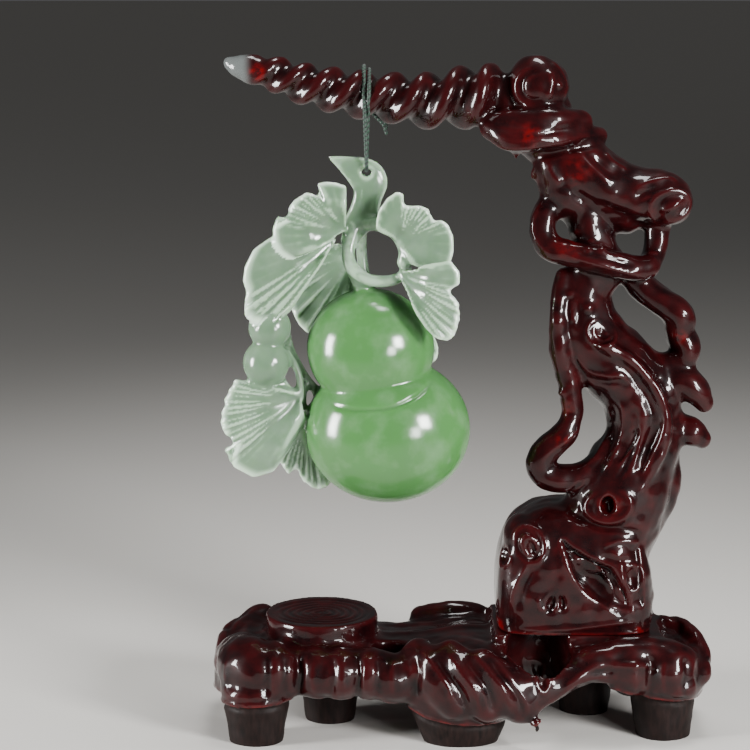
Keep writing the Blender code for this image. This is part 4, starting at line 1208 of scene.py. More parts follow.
    def block_strokes(self) -> list[Stroke]:
        """Lists the facets, curls, cups and the eye of the block foot."""
        left_ridge = ((-10.0, 32.8), (-8.2, 24.7), (-5.9, 19.1), (-0.2, 11.0), (6.1, 6.9), (13.4, 0.9))
        right_ridge = ((-9.6, 32.8), (-5.3, 26.3), (1.2, 20.6), (6.6, 19.9), (10.6, 15.8), (12.4, 11.7),
                       (15.7, 4.3))
        cup_ridge = ((6.1, 28.7), (11.2, 25.4), (12.7, 18.4), (12.5, 11.3), (18.4, 2.4))
        under_eye = ((-7.8, 43.2), (-3.4, 39.9), (4.5, 35.9), (12.4, 34.8), (20.6, 33.7))
        corner = ((-16.4, 43.7), (-21.1, 43.4), (-24.7, 40.1), (-27.5, 34.5))
        facet = ((-21.2, 23.1), (-23.3, 18.3), (-26.1, 12.0), (-26.8, 4.6))
        curl = (-20.7, 29.4)
        eye = (7.8, 43.5)
        return [
            Stroke.crisp(left_ridge, 1.4, 0.9), Stroke.crisp(right_ridge, 1.3, 0.9),
            Stroke.crisp(cup_ridge, 1.0, 0.8), Stroke(under_eye, 1.5, -1.5),
            Stroke.crisp(corner, 1.2, 0.7), Stroke.crisp(facet, 1.4, 0.9),
            Stroke([(x + 2.8, z) for x, z in facet], 1.8, -0.8),
            Stroke.crisp(((5.2, 28.6), (12.0, 30.8), (20.2, 30.0)), 1.1, 0.8),
            Stroke(((4.5, 25.3), (10.2, 23.8), (16.3, 23.8)), 1.2, -0.8),
            Stroke(((-26.1, -2.0), (-6.4, -1.4), (12.2, 0.7), (20.5, 1.4)), 0.9, 0.4),
            Stroke.ring((17.0, 17.3), (3.4, 4.6), 0.8, 0.6),
            Stroke.ring(curl, (6.8, 5.8), 1.0, 0.8, -60, 250, -70),
            Stroke.ring(curl, (5.0, 3.9), 0.8, -0.7, tilt=-70),
            Stroke.ring((-20.0, 28.8), (3.6, 2.4), 0.7, 0.7, -80, 230, -70),
            Stroke.ring((-29.5, 23.8), (2.3, 2.3), 0.7, 0.7),
            Stroke.ring((-15.6, 8.7), (1.7, 3.2), 0.6, 0.5, 150, 330),
            Stroke.ring((-11.4, 8.9), (1.7, 3.2), 0.6, 0.5, 210, 390),
            Stroke.ring(eye, (7.8, 6.0), 1.2, 1.1, 100, 430, 8),
            Stroke.ring((8.3, 43.3), (5.6, 4.2), 0.7, 0.5, 170, 420, 8),
            Stroke.ring(eye, (9.8, 7.8), 1.1, -0.8, 150, 330),
        ]

    def facets(self) -> list[Facet]:
        """Lists the block's broad slanting facet, two blades low on the trunk and the right cup's side."""
        ridge_side = ((-9.5, 32.3), (-4.9, 17.2), (3.7, 10.0), (15.4, 4.5))
        cup_side = ((-9.0, 32.3), (-5.3, 28.2), (1.2, 24.5), (9.4, 21.0), (14.6, 13.0), (16.6, 4.5))
        pairs = (
            (((15.6, 72.2), (9.5, 65.9), (5.5, 58.7)), ((19.2, 72.2), (16.5, 65.9), (11.2, 57.8)), 1.5),
            (((23.6, 74.5), (18.3, 64.1), (14.0, 54.2)), ((27.2, 75.0), (23.6, 64.1), (19.2, 54.2)), 1.6),
            (((12.5, 30.0), (12.6, 18.0), (17.0, 6.0)), ((19.0, 30.0), (20.5, 18.0), (21.0, 6.0)), 1.6),
        )
        return [Facet(ridge_side, cup_side, 2.2, 0.15), *(Facet(*pair) for pair in pairs)]

    def back_strokes(self) -> list[Stroke]:
        """Lists the plainer flutes of the back."""
        flute = ((8.0, 101.0), (17.0, 91.0), (22.0, 79.0), (21.0, 66.0), (16.0, 54.0), (13.0, 40.0))
        seam = ((-8.0, 158.0), (4.0, 151.0), (18.0, 149.0))
        strokes = [Stroke([(x - shift, z) for x, z in flute], 1.8, -0.9, Face.BACK) for shift in (-4, 3)]
        strokes += [
            Stroke.crisp(flute, 1.2, 0.8, Face.BACK), Stroke(seam, 1.8, -0.8, Face.BACK),
            Stroke(((-16.0, 36.0), (-12.0, 22.0), (-14.0, 8.0)), 2.2, -1.0, Face.BACK),
            Stroke(((10.0, 32.0), (6.0, 20.0), (9.0, 6.0)), 2.2, -1.0, Face.BACK),
            Stroke(((-2.0, 122.0), (-3.0, 112.0), (1.0, 103.0)), 1.6, -0.8, Face.BACK),
        ]
        return strokes

    def build(self, finishes: Finishes) -> bpy.types.Object:
        """Builds the upright and dresses it."""
        blank = Blank("carved_upright", self.drawing)
        for limb in self.limbs():
            blank.limb(limb)
        blank.limb(Limb(self.arm, 1.0, 48), self.twist)
        blank.knob(self.ball)
        self.add_block(blank)
        blank.fuse(self.rough_grain, 2)
        blank.hollow(self.hollows())
        blank.fuse(self.grain, 6)
        arm_end = self.drawing.point(self.calm_left_of, 0.0, 0.0)[0]
        for size, depth in self.swellings:
            blank.knead(size, depth, arm_end)
        blank.pare(self.facets())
        blank.carve(self.trunk_strokes() + self.shoulder_strokes() + self.ball_strokes())
        blank.carve(self.block_strokes() + self.back_strokes())
        blank.soften(1)
        blank.slice_flat(self.pad_top + self.fit_gap, True)
        mesh = blank.item.data
        mark_crests(mesh)
        set_attribute(mesh, "thin", self.thin(mesh))
        tip = self.drawing.station(self.arm[0])[0]
        rubbed = ramp(-read_mesh(mesh)[0][:, 0], -tip - self.rubbed_fade, -tip - self.rubbed_length)
        set_attribute(mesh, "rubbed", rubbed)
        mesh.materials.append(finishes.lacquer)
        return blank.item

    def thin(self, mesh: bpy.types.Mesh) -> np.ndarray:
        """Finds where the lacquer is bright: behind the tip, on the collar and along the seam."""
        places, normals = read_mesh(mesh)
        drawn = self.drawing.drawn(places)
        spots = (
            (-117.0, 200.0, 4.0, 0.9), (-22.0, 179.0, 6.0, 0.3), (-5.0, 166.0, 8.0, 0.2),
            (-31.0, 2.0, 3.4, 0.5), (20.0, 2.0, 3.0, 0.4), (8.0, 47.0, 6.0, 0.2), (33.0, 106.0, 4.0, 0.3),
            (-8.0, 80.0, 5.0, 0.25), (-9.0, 70.0, 4.0, 0.25), (-8.0, 140.0, 7.0, 0.2),
        )
        value = np.zeros(len(places))
        for x, z, reach, strength in spots:
            distance = np.hypot(drawn[:, 0] - x, drawn[:, 2] - z)
            value = np.maximum(value, ramp(-distance, -reach, 0.0) * strength)
        seam = ramp(-drawn[:, 2], -1.3, -0.3) * 0.2
        return np.maximum(value, seam)


@dataclass
class RootBase:
    """The low base: a skirted root with a round plaque, a pad for the upright and stub feet."""

    length: float = 0.181
    depth: float = 0.078
    pad_top: float = 0.0363
    pad_thickness: float = 0.014
    pad_margin: float = 0.0015
    seat_clearance: float = 0.0012
    plaque_x: float = -0.050
    plaque_y: float = 0.001
    plaque_radius: float = 0.0205
    plaque_top: float = 0.0407
    plaque_thickness: float = 0.0065
    plaque_flare: float = 1.14
    foot_top: float = 20.0
    foot_spare: float = 0.004
    rough_grain: float = 0.0012
    grain: float = 0.00085
    swellings: Sequence[tuple[float, float]] = ((10.0, 0.5), (4.0, 0.25))
    ring_spacing: float = 3.1
    ring_depth: float = 0.0006
    lip_roll: float = 0.8
    skirt_front: float = -35.0
    drawn_size: tuple[float, float, float] = (181.0, 78.0, 36.3)
    drawing: Drawing = field(init=False)

    def __post_init__(self) -> None:
        """Sets the drawing up on the table under the base's middle."""
        length, depth, pad_top = self.drawn_size
        grid = (self.length / length, self.depth / depth, self.pad_top / pad_top)
        self.drawing = Drawing((0.0, 0.0, 0.0), grid)

    def body(self) -> tuple[Station, ...]:
        """Lists the body's sections: x, front at the top and bottom, back, bottom and top."""
        return (
            (-89, -2, -12, 20, 14, 25), (-82, -7, -29, 28, 14.5, 31), (-70, -13, -32, 32, 15, 33),
            (-60, -20, -32, 33, 15.5, 33), (-48, -26, -32, 32, 16, 33), (-35, -23, -32, 28, 16, 33),
            (-24, -20, -32, 27, 14.5, 32), (-12, -21, -35, 30, 10, 33), (0, -31, -37, 35, 8.5, 34),
            (13, -38, -39, 38, 8.5, 33), (24, -36, -38, 38, 9, 32), (33, -32, -36, 36, 14, 32),
            (45, -28, -34, 37, 21, 33), (56, -24, -32, 36, 19.5, 34), (67, -20, -32, 34, 16, 34),
            (78, -24, -33, 30, 15, 33), (85, -18, -26, 22, 15, 30), (89, -6, -12, 12, 17, 27),
        )

    def limbs(self) -> list[Limb]:
        """Lists the lobes of the skirt and the roots that lie round the top."""
        lobes = (
            ((-79, -8, 25.5, 10.0), (-76, -18, 26, 11.2), (-72, -21.5, 26, 11.3), (-69, -21.5, 26, 10.1),
             (-66, -21.5, 26, 10.9), (-63, -20, 26, 9.6)),
            ((-55, -19, 25.5, 8.6), (-51, -22, 25, 9.8), (-46.5, -22.5, 25, 8.8), (-42, -23.5, 25, 9.9),
             (-37.3, -22.5, 25, 8.4), (-33, -23.5, 25, 9.8), (-29.5, -22.5, 24.5, 8.8),
             (-24, -23.5, 23, 9.4)),
            ((-15, -20, 30, 7.0), (-9, -28, 26, 8.4), (-2, -31, 17, 7.2)),
            ((-4, -25, 31, 7.0), (3, -31, 26, 8.0), (9, -32, 16.5, 7.2)),
            ((7, -30, 30, 6.5), (14, -32, 24, 7.5), (21, -32, 16.5, 7.2)),
            ((46, -25, 30, 5.5), (58, -22, 31, 6.5), (67, -21, 31, 6.5), (77, -20, 29, 6.5),
             (83, -14, 26, 5.5)),
            ((59, -20, 29, 8.5), (60, -21, 26, 10.0), (60, -22, 25.5, 9.0)),
            ((73, -18, 28, 8.5), (74, -20, 26, 10.5), (74, -21, 25, 9.6)),
            ((81, -13, 26, 6.0), (82, -16, 24, 6.8), (82, -16, 23, 6.0)),
        )
        back_lobe = ((-13, 27, 30.5, 5.0), (-4, 26, 33.0, 4.6), (5, 27, 32.5, 4.6), (10, 29, 29.5, 4.5))
        left_shoulder = ((-83, -2, 26, 5.0), (-83, 10, 28, 5.5), (-73, 25, 31, 6.0))
        right_curl = (
            (66, 12, 31, 5.0), (78, 8, 34, 3.8), (84, 0, 33, 3.5), (87, -10, 29, 3.5), (87, -18, 23, 3.5),
        )
        drip = ((26.3, -37, 11.0, 1.7), (26.4, -37.2, 8.2, 1.3), (26.5, -37.2, 6.9, 0.9))
        return [Limb(stations) for stations in (*lobes, back_lobe, left_shoulder, right_curl, drip)]

    def add_body(self, blank: Blank) -> None:
        """Adds the skirted body, lofted from left to right."""
        rings = []
        for x, front_top, front_bottom, back, bottom, top in smooth_route(self.body(), 6):
            ring = []
            for reach, level in boxy_ring(56, 0.6):
                front = front_bottom + (front_top - front_bottom) * (level + 1) / 2
                y = (front + back) / 2 + reach * (back - front) / 2
                z = (bottom + top) / 2 + level * (top - bottom) / 2
                ring.append(self.drawing.point(x, y, z))
            rings.append(ring)
        blank.loft(rings)

    def add_feet(self, blank: Blank) -> None:
        """Adds the stub feet, which widen towards the skirt."""
        feet = (
            (-73, -22, 9.0, 8.0, 1.4), (0, -22, 12.0, 8.0, 1.75), (73, -15, 9.2, 8.5, 1.35),
            (-47, 3, 8.5, 8.0, 1.4), (47, 13, 8.5, 8.0, 1.4), (2, 27, 9.0, 8.0, 1.4),
        )
        for x, y, length, depth, taper in feet:
            place = self.drawing.point(x, y, 0.0)
            top = self.drawing.point(0.0, 0.0, self.foot_top).z
            radii = (length * self.drawing.grid[0], depth * self.drawing.grid[1])
            blank.prism(place, radii, -self.foot_spare, top, taper)

    def add_tops(self, blank: Blank, upright: RootUpright) -> None:
        """Adds the round plaque and the pad under the upright."""
        centre = (self.plaque_x, self.plaque_y)
        neck = self.plaque_radius * self.plaque_flare
        low = self.pad_top - self.pad_thickness
        blank.prism(centre, (neck, neck), low, self.plaque_top - self.plaque_thickness / 2, 0.82)
        rim = (self.plaque_radius, self.plaque_radius)
        top = self.plaque_top + self.seat_clearance
        blank.prism(centre, rim, self.plaque_top - self.plaque_thickness, top, 1.0, 0.0015)
        low, high = self.seat(upright, 0.0)
        spare_top = self.pad_top + self.seat_clearance
        blank.box((*low, self.pad_top - self.pad_thickness), (*high, spare_top))

    def seat(self, upright: RootUpright, clearance: float) -> tuple[tuple[float, float], tuple[float, float]]:
        """Finds the lowest and highest corner of the pad, along X and Y, with a clearance round it."""
        x = upright.x + upright.foot_offset
        half = upright.foot_length / 2 + self.pad_margin + clearance
        deep = upright.foot_depth / 2 + clearance
        return (x - half, upright.y - deep), (x + half, upright.y + deep)

    def holes(self, blank: Blank) -> None:
        """Cuts the two hollows that run down through the base."""
        for x, y, length, depth in ((-25.5, -13.0, 6.5, 7.0), (28.0, -18.5, 11.5, 14.5)):
            place = self.drawing.point(x, y, self.foot_top)
            radii = (length * self.drawing.grid[0], depth * self.drawing.grid[1], 1.0)
            cut_away(blank.item, bar_cutter(sides=40, length=0.1, size=radii, place=place, turn=Matrix()))

    def flatten_seats(self, blank: Blank, upright: RootUpright) -> None:
        """Planes the pad and the plaque, and cuts the plaque's rings."""
        mesh = blank.item.data
        places, normals = read_mesh(mesh)
        low, high = self.seat(upright, self.seat_clearance)
        x, y, z = places[:, 0], places[:, 1], places[:, 2]
        on_pad = (x > low[0]) & (x < high[0]) & (y > low[1]) & (y < high[1]) & (z > self.pad_top)
        z[on_pad] = self.pad_top
        away = np.hypot(x - self.plaque_x, y - self.plaque_y)
        on_plaque = (away < self.plaque_radius + self.seat_clearance) & (z > self.plaque_top)
        z[on_plaque] = self.plaque_top
        across = (x - self.plaque_x) / MM
        deep = (y - self.plaque_y) / MM
        wobble = 0.5 * np.sin(3 * np.arctan2(deep, across) + 0.8)
        radius = np.hypot(across, deep * 1.1) + wobble
        inside = ramp(-away, -self.plaque_radius * 0.86, -self.plaque_radius * 0.78)
        rings = np.cos(2 * math.pi * radius / self.ring_spacing)
        flat = (away < self.plaque_radius) & (z > self.plaque_top - 0.0004) & (normals[:, 2] > 0.5)
        z[flat] -= ((0.5 - 0.5 * rings) * inside * self.ring_depth)[flat]
        write_mesh(mesh, places)

    def strokes(self) -> list[Stroke]:
        """Lists the ridges and grooves of the skirt."""
        sight = self.sighted
        drapes = (
            ((-15, 37), (-9, 30), (-5, 24), (-3, 17)), ((-5.5, 36), (-1, 30), (4, 23), (7, 14)),
            ((3, 37), (8, 31), (14, 24), (18, 13)),
        )
        valleys = (
            ((-10, 35), (-5, 28), (0, 21), (2, 14)), ((0, 36), (4, 30), (9, 23), (12, 13)),
            ((9, 35), (13, 29), (19, 21), (22, 12)),
        )
        creases = (
            (-69, 0.6), (-63, 0.7), (-58, 1.7), (-46, 0.9), (-37, 1.4), (-30, 0.8), (-16.5, 1.0), (66.5, 0.8),
            (79, 0.8),
        )
        flutes = (-83, -66, -52, -41.5, -33.5, -24, 55, 62, 72, 83)
        strokes = [Stroke.crisp(sight(line), 1.2, 0.9) for line in drapes]
        strokes += [Stroke(sight(line), 1.6, -1.2) for line in valleys]
        for x, depth in creases:
            strokes.append(Stroke(sight(((x, 35), (x + 0.8, 29), (x + 0.2, 23), (x, 18))), 1.5, -depth))
        for x in flutes:
            strokes.append(Stroke.crisp(sight(((x, 33), (x - 0.8, 27), (x, 20))), 1.3, 0.5))
        strokes += [
            Stroke(sight(((25, 30), (28.5, 21), (31, 28), (25.5, 30))), 0.8, 0.6, cut=Cut.CRISP, taper=False),
            Stroke(sight(((28, 27), (28.6, 24))), 1.2, -1.4, taper=False),
            Stroke(sight(((36, 22), (46, 30), (58, 31), (70, 30))), 1.6, 0.8),
            Stroke(sight(((32, 14), (40, 22), (50, 25), (60, 23))), 1.4, -0.7),
            Stroke(((-30, 5), (-12, 2), (6, 6), (14, 10)), 2.5, 0.7, Face.UP),
            Stroke(((-28, 14), (-10, 12), (8, 18)), 2.0, -0.8, Face.UP),
            Stroke(((-76, -8), (-78, 8), (-70, 20)), 2.4, 0.8, Face.UP),
            Stroke(((-82, -4), (-84, 10), (-76, 24)), 1.8, -0.8, Face.UP),
            Stroke(((74, -10), (80, 0), (76, 14)), 1.8, -0.8, Face.UP),
        ]
        for x in (-68, -50, -30, -12, 12, 32, 54, 70):
            strokes.append(Stroke(((x, 31), (x + 1.5, 25), (x, 17)), 1.7, -1.0, Face.BACK))
            strokes.append(Stroke.crisp(((x + 8, 30), (x + 7, 24), (x + 8, 18)), 1.4, 0.6, Face.BACK))
        for y in (-16, -2, 12):
            for side in (Face.LEFT, Face.RIGHT):
                strokes.append(Stroke(((y, 30), (y + 1, 25), (y, 18)), 1.6, -0.9, side))
        return strokes

    def sighted(self, line: Sequence[tuple[float, float]]) -> list[tuple[float, float]]:
        """Moves a line in X and Z of the skirt's front to where it looks from above."""
        return [(x, z + SIGHT_SLOPE * self.skirt_front) for x, z in line]

    def roll_lip(self, blank: Blank) -> None:
        """Raises the lacquer's rolled lower edge all round, over a sunk line."""
        places, normals = read_mesh(blank.item.data)
        drawn = self.drawing.drawn(places)
        height = drawn[:, 2] - self.lip(drawn[:, 0])
        upright = ramp(-np.abs(normals[:, 2]), -0.95, -0.6)
        rise = self.lip_roll * np.exp(-((height - 1.0) / 0.75) ** 2)
        roll = rise - self.lip_roll * np.exp(-((height + 0.6) / 0.8) ** 2)
        blank.push(roll * upright * self.drawing.grid[2])

    def lip(self, x: np.ndarray) -> np.ndarray:
        """Finds the level of the lacquer's lower edge along the base, in the drawing."""
        sections = self.body()
        return np.interp(x, [section[0] for section in sections], [section[4] for section in sections])

    def build(self, finishes: Finishes, upright: RootUpright) -> bpy.types.Object:
        """Builds the base and dresses it."""
        blank = Blank("carved_base", self.drawing)
        self.add_body(blank)
        self.add_feet(blank)
        for limb in self.limbs():
            blank.limb(limb)
        self.add_tops(blank, upright)
        blank.fuse(self.rough_grain, 2)
        self.holes(blank)
        blank.fuse(self.grain, 6)
        for size, depth in self.swellings:
            blank.knead(size, depth)
        blank.carve(self.strokes())
        blank.soften(1)
        self.roll_lip(blank)
        self.flatten_seats(blank, upright)
        blank.slice_flat(0.0, True)
        mesh = blank.item.data
        mark_crests(mesh)
        places, normals = read_mesh(mesh)
        drawn = self.drawing.drawn(places)
        lip = self.lip(drawn[:, 0])
        set_attribute(mesh, "thin", ramp(-np.abs(drawn[:, 2] - lip - 0.4), -0.9, -0.1) * 0.3)
        mesh.materials.append(finishes.lacquer)
        mesh.materials.append(finishes.foot)
        count = len(mesh.polygons)
        centres = np.empty(count * 3)
        mesh.polygons.foreach_get("center", centres)
        centres = self.drawing.drawn(centres.reshape(-1, 3))
        bare = centres[:, 2] < self.lip(centres[:, 0]) - 0.2
        mesh.polygons.foreach_set("material_index", bare.astype(np.int32))
        return blank.item


@dataclass(frozen=True)
class Leaf:
    """A fan leaf: where it grows from, how it bulges, its rim, and its fluted share of that rim."""

    base: Station
    bulge: tuple[float, float]
    rim: Sequence[tuple[float, float]]
    fluted: tuple[float, float] = (0.0, 1.0)
    pitch: float = 2.0
    cut: float = 0.5
    tooth: float = 0.45

    def flute_share(self, along: np.ndarray) -> np.ndarray:
        """Finds how strongly the leaf is fluted at shares of the way along its rim."""
        start, end = self.fluted
        return ramp(along, start - 0.04, start + 0.03) * ramp(-along, -end - 0.04, -end + 0.03)


@dataclass
class JadeGourd:
    """The jade carving: a double gourd under a vine, with fan leaves and a small gourd."""

    height: float = 0.1240
    stalk_thickness: float = 0.0056
    hole_width: float = 0.0036
    hole_height: float = 0.0026
    cord_from_foot: float = 0.0786
    cord_reach: float = 0.0010
    cord_drop: float = 0.0263
    rough_grain: float = 0.0007
    grain: float = 0.00060
    drawn_height: float = 124.0
    leaf_thickness: float = 2.2
    leaf_groove: float = 0.55
    lower_bulb: Station = (7.5, 0, -92.4)
    lower_radii: Station = (29.6, 25.0, 26.3)
    upper_bulb: Station = (1.4, -1, -62.7)
    upper_radii: Station = (22.7, 20.0, 21.5)
    small_bulbs: Sequence[Station] = ((-34.3, -3, -54.9, 7.6), (-35.6, -4, -67.4, 8.3))
    stalk: Sequence[Station] = (
        (-13.4, 0, 5.6, 0.9), (-7.7, 0, 2.8, 3.3), (-1.8, 0, -0.4, 6.1), (1.1, 0, -3.5, 6.5),
        (0.4, 0, -9.1, 5.2), (-1.2, 0, -14.5, 5.2), (-3.9, 0, -19.5, 4.9), (-6.0, 0, -24.0, 3.4),
    )
    drawing: Drawing = field(init=False, default=Drawing((0.0, 0.0, 0.0)))

    def hang(self, upright: RootUpright) -> None:
        """Hangs the drawing by its hole, under the thread where it leaves the arm's front."""
        arm, radius, distance = upright.arm_at(upright.x - self.cord_from_foot)
        front = radius * upright.twist(math.pi / 2, distance) + self.cord_reach
        grid = self.height / self.drawn_height
        self.drawing = Drawing((arm.x, arm.y - front, arm.z - self.cord_drop), (grid, grid, grid))

    def vines(self) -> list[Limb]:
        """Lists the vines in the drawing."""
        vines = (
            ((-4.3, 0, -19.1, 3.4), (-6.4, -3, -27.5, 2.5), (-5.3, -5, -32.9, 2.5), (-0.4, -6, -36.9, 2.3),
             (6.0, -6, -37.9, 2.2), (11.7, -6, -36.5, 2.0), (14.5, -6, -33.3, 1.8)),
            ((-1.8, 0, -18.0, 3.2), (4.6, -3, -18.3, 2.5), (10.6, -5, -21.3, 2.5), (13.5, -6, -26.7, 2.5),
             (13.1, -7, -31.0, 2.5)),
            ((-5.3, -4, -33.0, 2.4), (-2.4, -3, -39.0, 2.8), (0.6, -1, -44.0, 4.0), (0.7, 0, -48.0, 7.0)),
            ((-1.5, 3, -18.0, 2.0), (-1.8, 6, -28.2, 2.0), (-0.8, 6, -38.0, 2.4), (0.5, 3, -46.0, 4.0)),
            ((-29.4, 0, -53.6, 2.0), (-27.3, 0, -61.9, 1.4), (-24.5, 0, -68.1, 1.4), (-21.0, 2, -74.7, 1.5),
             (-17.0, 4, -80.5, 2.0)),
            ((-28.3, -3, -63.9, 1.4), (-25.1, -2, -69.2, 1.4), (-23.7, -2, -74.3, 1.5),
             (-23.8, -2, -80.2, 1.6)),
            ((-31.0, -3, -73.4, 2.0), (-28.0, -3, -77.1, 1.6), (-24.1, -2, -79.5, 1.6)),
            ((-21.0, 2, -74.7, 1.4), (-22.6, 1, -79.0, 1.5), (-23.1, 0, -84.0, 1.6)),
        )
        return [Limb(stations, 1.0, 14) for stations in vines]

    def leaves(self) -> dict[str, Leaf]:
        """Lists the fan leaves in the drawing."""
        return {
            "left fan": Leaf((-7.0, -3.0, -20.0), (-8.0, -7.0), (
                (-6.8, -3.9), (-10.5, -2.5), (-14.0, -2.2), (-17.2, -2.9), (-16.1, -7.5), (-20.7, -5.9),
                (-24.9, -8.5), (-27.1, -11.7), (-27.4, -15.6), (-31.1, -14.1), (-32.9, -19.0), (-32.4, -23.4),
                (-30.9, -26.3), (-26.3, -29.4), (-19.4, -27.0), (-11.1, -22.8)), (0.28, 0.56), 1.9),
            "left hanging": Leaf((-10.0, -2.0, -23.0), (-7.0, -6.0), (
                (-21.9, -21.4), (-33.3, -21.8), (-39.7, -26.4), (-42.8, -32.5), (-43.5, -37.5),
                (-42.3, -41.2), (-42.9, -46.1), (-43.0, -49.9), (-41.2, -51.7), (-36.9, -52.2),
                (-32.0, -51.1), (-27.1, -49.2), (-21.6, -40.0), (-16.0, -30.1)), (0.42, 0.92), 3.0, 0.9, 0.3),
            "behind": Leaf((-5.0, 5.0, -31.0), (3.0, 5.0), (
                (-9.7, -26.6), (-17.6, -27.7), (-24.1, -32.7), (-27.4, -41.1), (-27.4, -50.2), (-24.2, -56.8),
                (-19.9, -60.4), (-13.4, -55.8), (-4.0, -48.5)), (0.0, 1.0), 2.4, 0.3, 0.0),
            "right fan": Leaf((11.5, -6.0, -23.5), (-3.0, -5.0), (
                (3.4, -19.4), (3.4, -15.2), (4.4, -11.9), (7.2, -8.0), (10.6, -5.6), (13.3, -6.5),
                (13.0, -10.6), (15.5, -10.8), (18.6, -10.6), (21.7, -11.9), (23.4, -16.2), (26.0, -15.5),
                (28.6, -17.4), (30.4, -21.4), (30.6, -26.8), (29.3, -31.0), (25.5, -33.4), (20.5, -33.2),
                (15.5, -31.4)), (0.30, 0.66), 1.9),
            "right hanging": Leaf((10.5, -7.0, -34.4), (-9.0, -14.0), (
                (20.4, -29.8), (29.2, -28.4), (32.4, -32.6), (32.4, -36.9), (28.5, -38.7), (32.1, -43.3),
                (32.5, -48.7), (31.1, -54.0), (28.3, -56.9), (24.0, -55.8), (20.5, -52.2), (17.6, -48.0),
                (15.2, -43.3)), (0.32, 0.78), 2.2),
            "low fan": Leaf((-23.0, -2.0, -79.5), (-5.0, -3.0), (
                (-31.2, -75.4), (-40.2, -73.9), (-46.6, -73.2), (-49.9, -79.4), (-52.2, -88.6),
                (-50.8, -93.0), (-45.8, -96.7), (-50.8, -98.5), (-47.7, -105.2), (-40.5, -109.2),
                (-33.2, -107.0), (-27.8, -99.6), (-21.5, -88.6)), (0.10, 0.66), 2.1, 0.5, 0.5),
            "low blades": Leaf((-21.0, 1.0, -84.0), (3.0, 3.0), (
                (-32.8, -103.0), (-30.6, -106.8), (-28.1, -110.5), (-25.5, -106.8), (-23.4, -112.4),
                (-17.9, -116.1), (-13.2, -114.2), (-13.3, -103.0), (-14.8, -91.9))),
            "tuft": Leaf((16.0, 8.0, -50.0), (2.0, 4.0), (
                (22.0, -54.0), (24.3, -60.7), (25.8, -64.4), (25.8, -68.1), (24.0, -70.7), (18.3, -70.9))),
        }

    def leaf_depth(self, leaf: Leaf, out: np.ndarray) -> np.ndarray:
        """Finds how far forward or back a leaf's sheet lies at a share of the way to its rim."""
        return leaf.base[1] + leaf.bulge[0] * np.sin(math.pi * out) + leaf.bulge[1] * out * out

    def add_leaf(self, blank: Blank, leaf: Leaf) -> None:
        """Adds a leaf: a grid bent from its base to its rim, grooved, thinned and closed."""
        sheet = bmesh.new()
        rim = leaf.rim
        bmesh.ops.create_grid(sheet, x_segments=10 * (len(rim) - 1), y_segments=16, size=1.0)
        for vertex in sheet.verts:
            along = (vertex.co.x + 1) / 2 * (len(rim) - 1)
            out = 0.06 + 0.94 * (vertex.co.y + 1) / 2
            first = min(int(along), len(rim) - 2)
            edge = Vector(rim[first]).lerp(Vector(rim[first + 1]), along - first)
            fluted = float(leaf.flute_share(np.array(along / (len(rim) - 1))))
            groove = self.leaf_groove * out * math.cos(2 * math.pi * along) * (0.25 + 0.75 * fluted)
            depth = float(self.leaf_depth(leaf, np.array(out)))
            reach = math.hypot(edge.x - leaf.base[0], edge.y - leaf.base[2])
            tooth = leaf.tooth * fluted * math.sin(4 * math.pi * along) * max(0.0, out - 0.8) / 0.2
            share = out + tooth / reach
            x = leaf.base[0] + (edge.x - leaf.base[0]) * share
            z = leaf.base[2] + (edge.y - leaf.base[2]) * share
            vertex.co = self.drawing.point(x, depth + groove, z)
        grown = bmesh.ops.extrude_face_region(sheet, geom=list(sheet.faces), use_keep_orig=True)
        far_side = [part for part in grown["geom"] if isinstance(part, bmesh.types.BMVert)]
        thickness = self.leaf_thickness * self.drawing.grid[1]
        bmesh.ops.translate(sheet, vec=(0, thickness, 0), verts=far_side)
        bmesh.ops.recalc_face_normals(sheet, faces=sheet.faces)
        spare = bpy.data.meshes.new("leaf")
        sheet.to_mesh(spare)
        sheet.free()
        blank.bm.from_mesh(spare)
        bpy.data.meshes.remove(spare)

    def groove_leaves(self, blank: Blank) -> np.ndarray:
        """Cuts the flutes that fan out from each leaf's base.

        Args:
            blank: The carving.

        Returns:
            For each point of the skin, how near it is to the rim of a leaf, from 0 to 1.
        """
        places, normals = read_mesh(blank.item.data)
        drawn = self.drawing.drawn(places)
        lift = np.zeros(len(places))
        edge = np.zeros(len(places))
        for leaf in self.leaves().values():
            base = np.array(leaf.base)
            across = drawn[:, 0] - base[0]
            up = drawn[:, 2] - base[2]
            angles = np.unwrap([math.atan2(z - base[2], x - base[0]) for x, z in leaf.rim])
            reaches = [math.hypot(x - base[0], z - base[2]) for x, z in leaf.rim]
            turn = np.arctan2(up, across)
            middle = (angles[0] + angles[-1]) / 2
            turn = (turn - middle + math.pi) % (2 * math.pi) - math.pi + middle
            order = np.argsort(angles)
            rim = np.interp(turn, angles[order], np.array(reaches)[order])
            out = np.hypot(across, up) / rim
            low, high = min(angles), max(angles)
            sheet = self.leaf_depth(leaf, np.clip(out, 0, 1)) + self.leaf_thickness / 2
            near = (out < 1.04) & (turn > low) & (turn < high) & (np.abs(drawn[:, 1] - sheet) < 3.0)
            count = max(3.0, round((high - low) * np.mean(reaches) / leaf.pitch))
            wave = np.abs(np.sin(math.pi * count * (turn - low) / (high - low)))
            along = np.interp(turn, angles[order], order / (len(leaf.rim) - 1))
            vein = (1.0 - wave) ** 1.5 * ramp(out, 0.25, 0.7) * -leaf.cut * leaf.flute_share(along)
            facing = ramp(np.abs(normals[:, 1]), 0.2, 0.6)
            lift[near] = (vein * facing)[near]
            edge[near] = np.maximum(edge, ramp(out, 0.88, 0.99))[near]
        blank.push(lift * self.drawing.grid[0])
        return edge

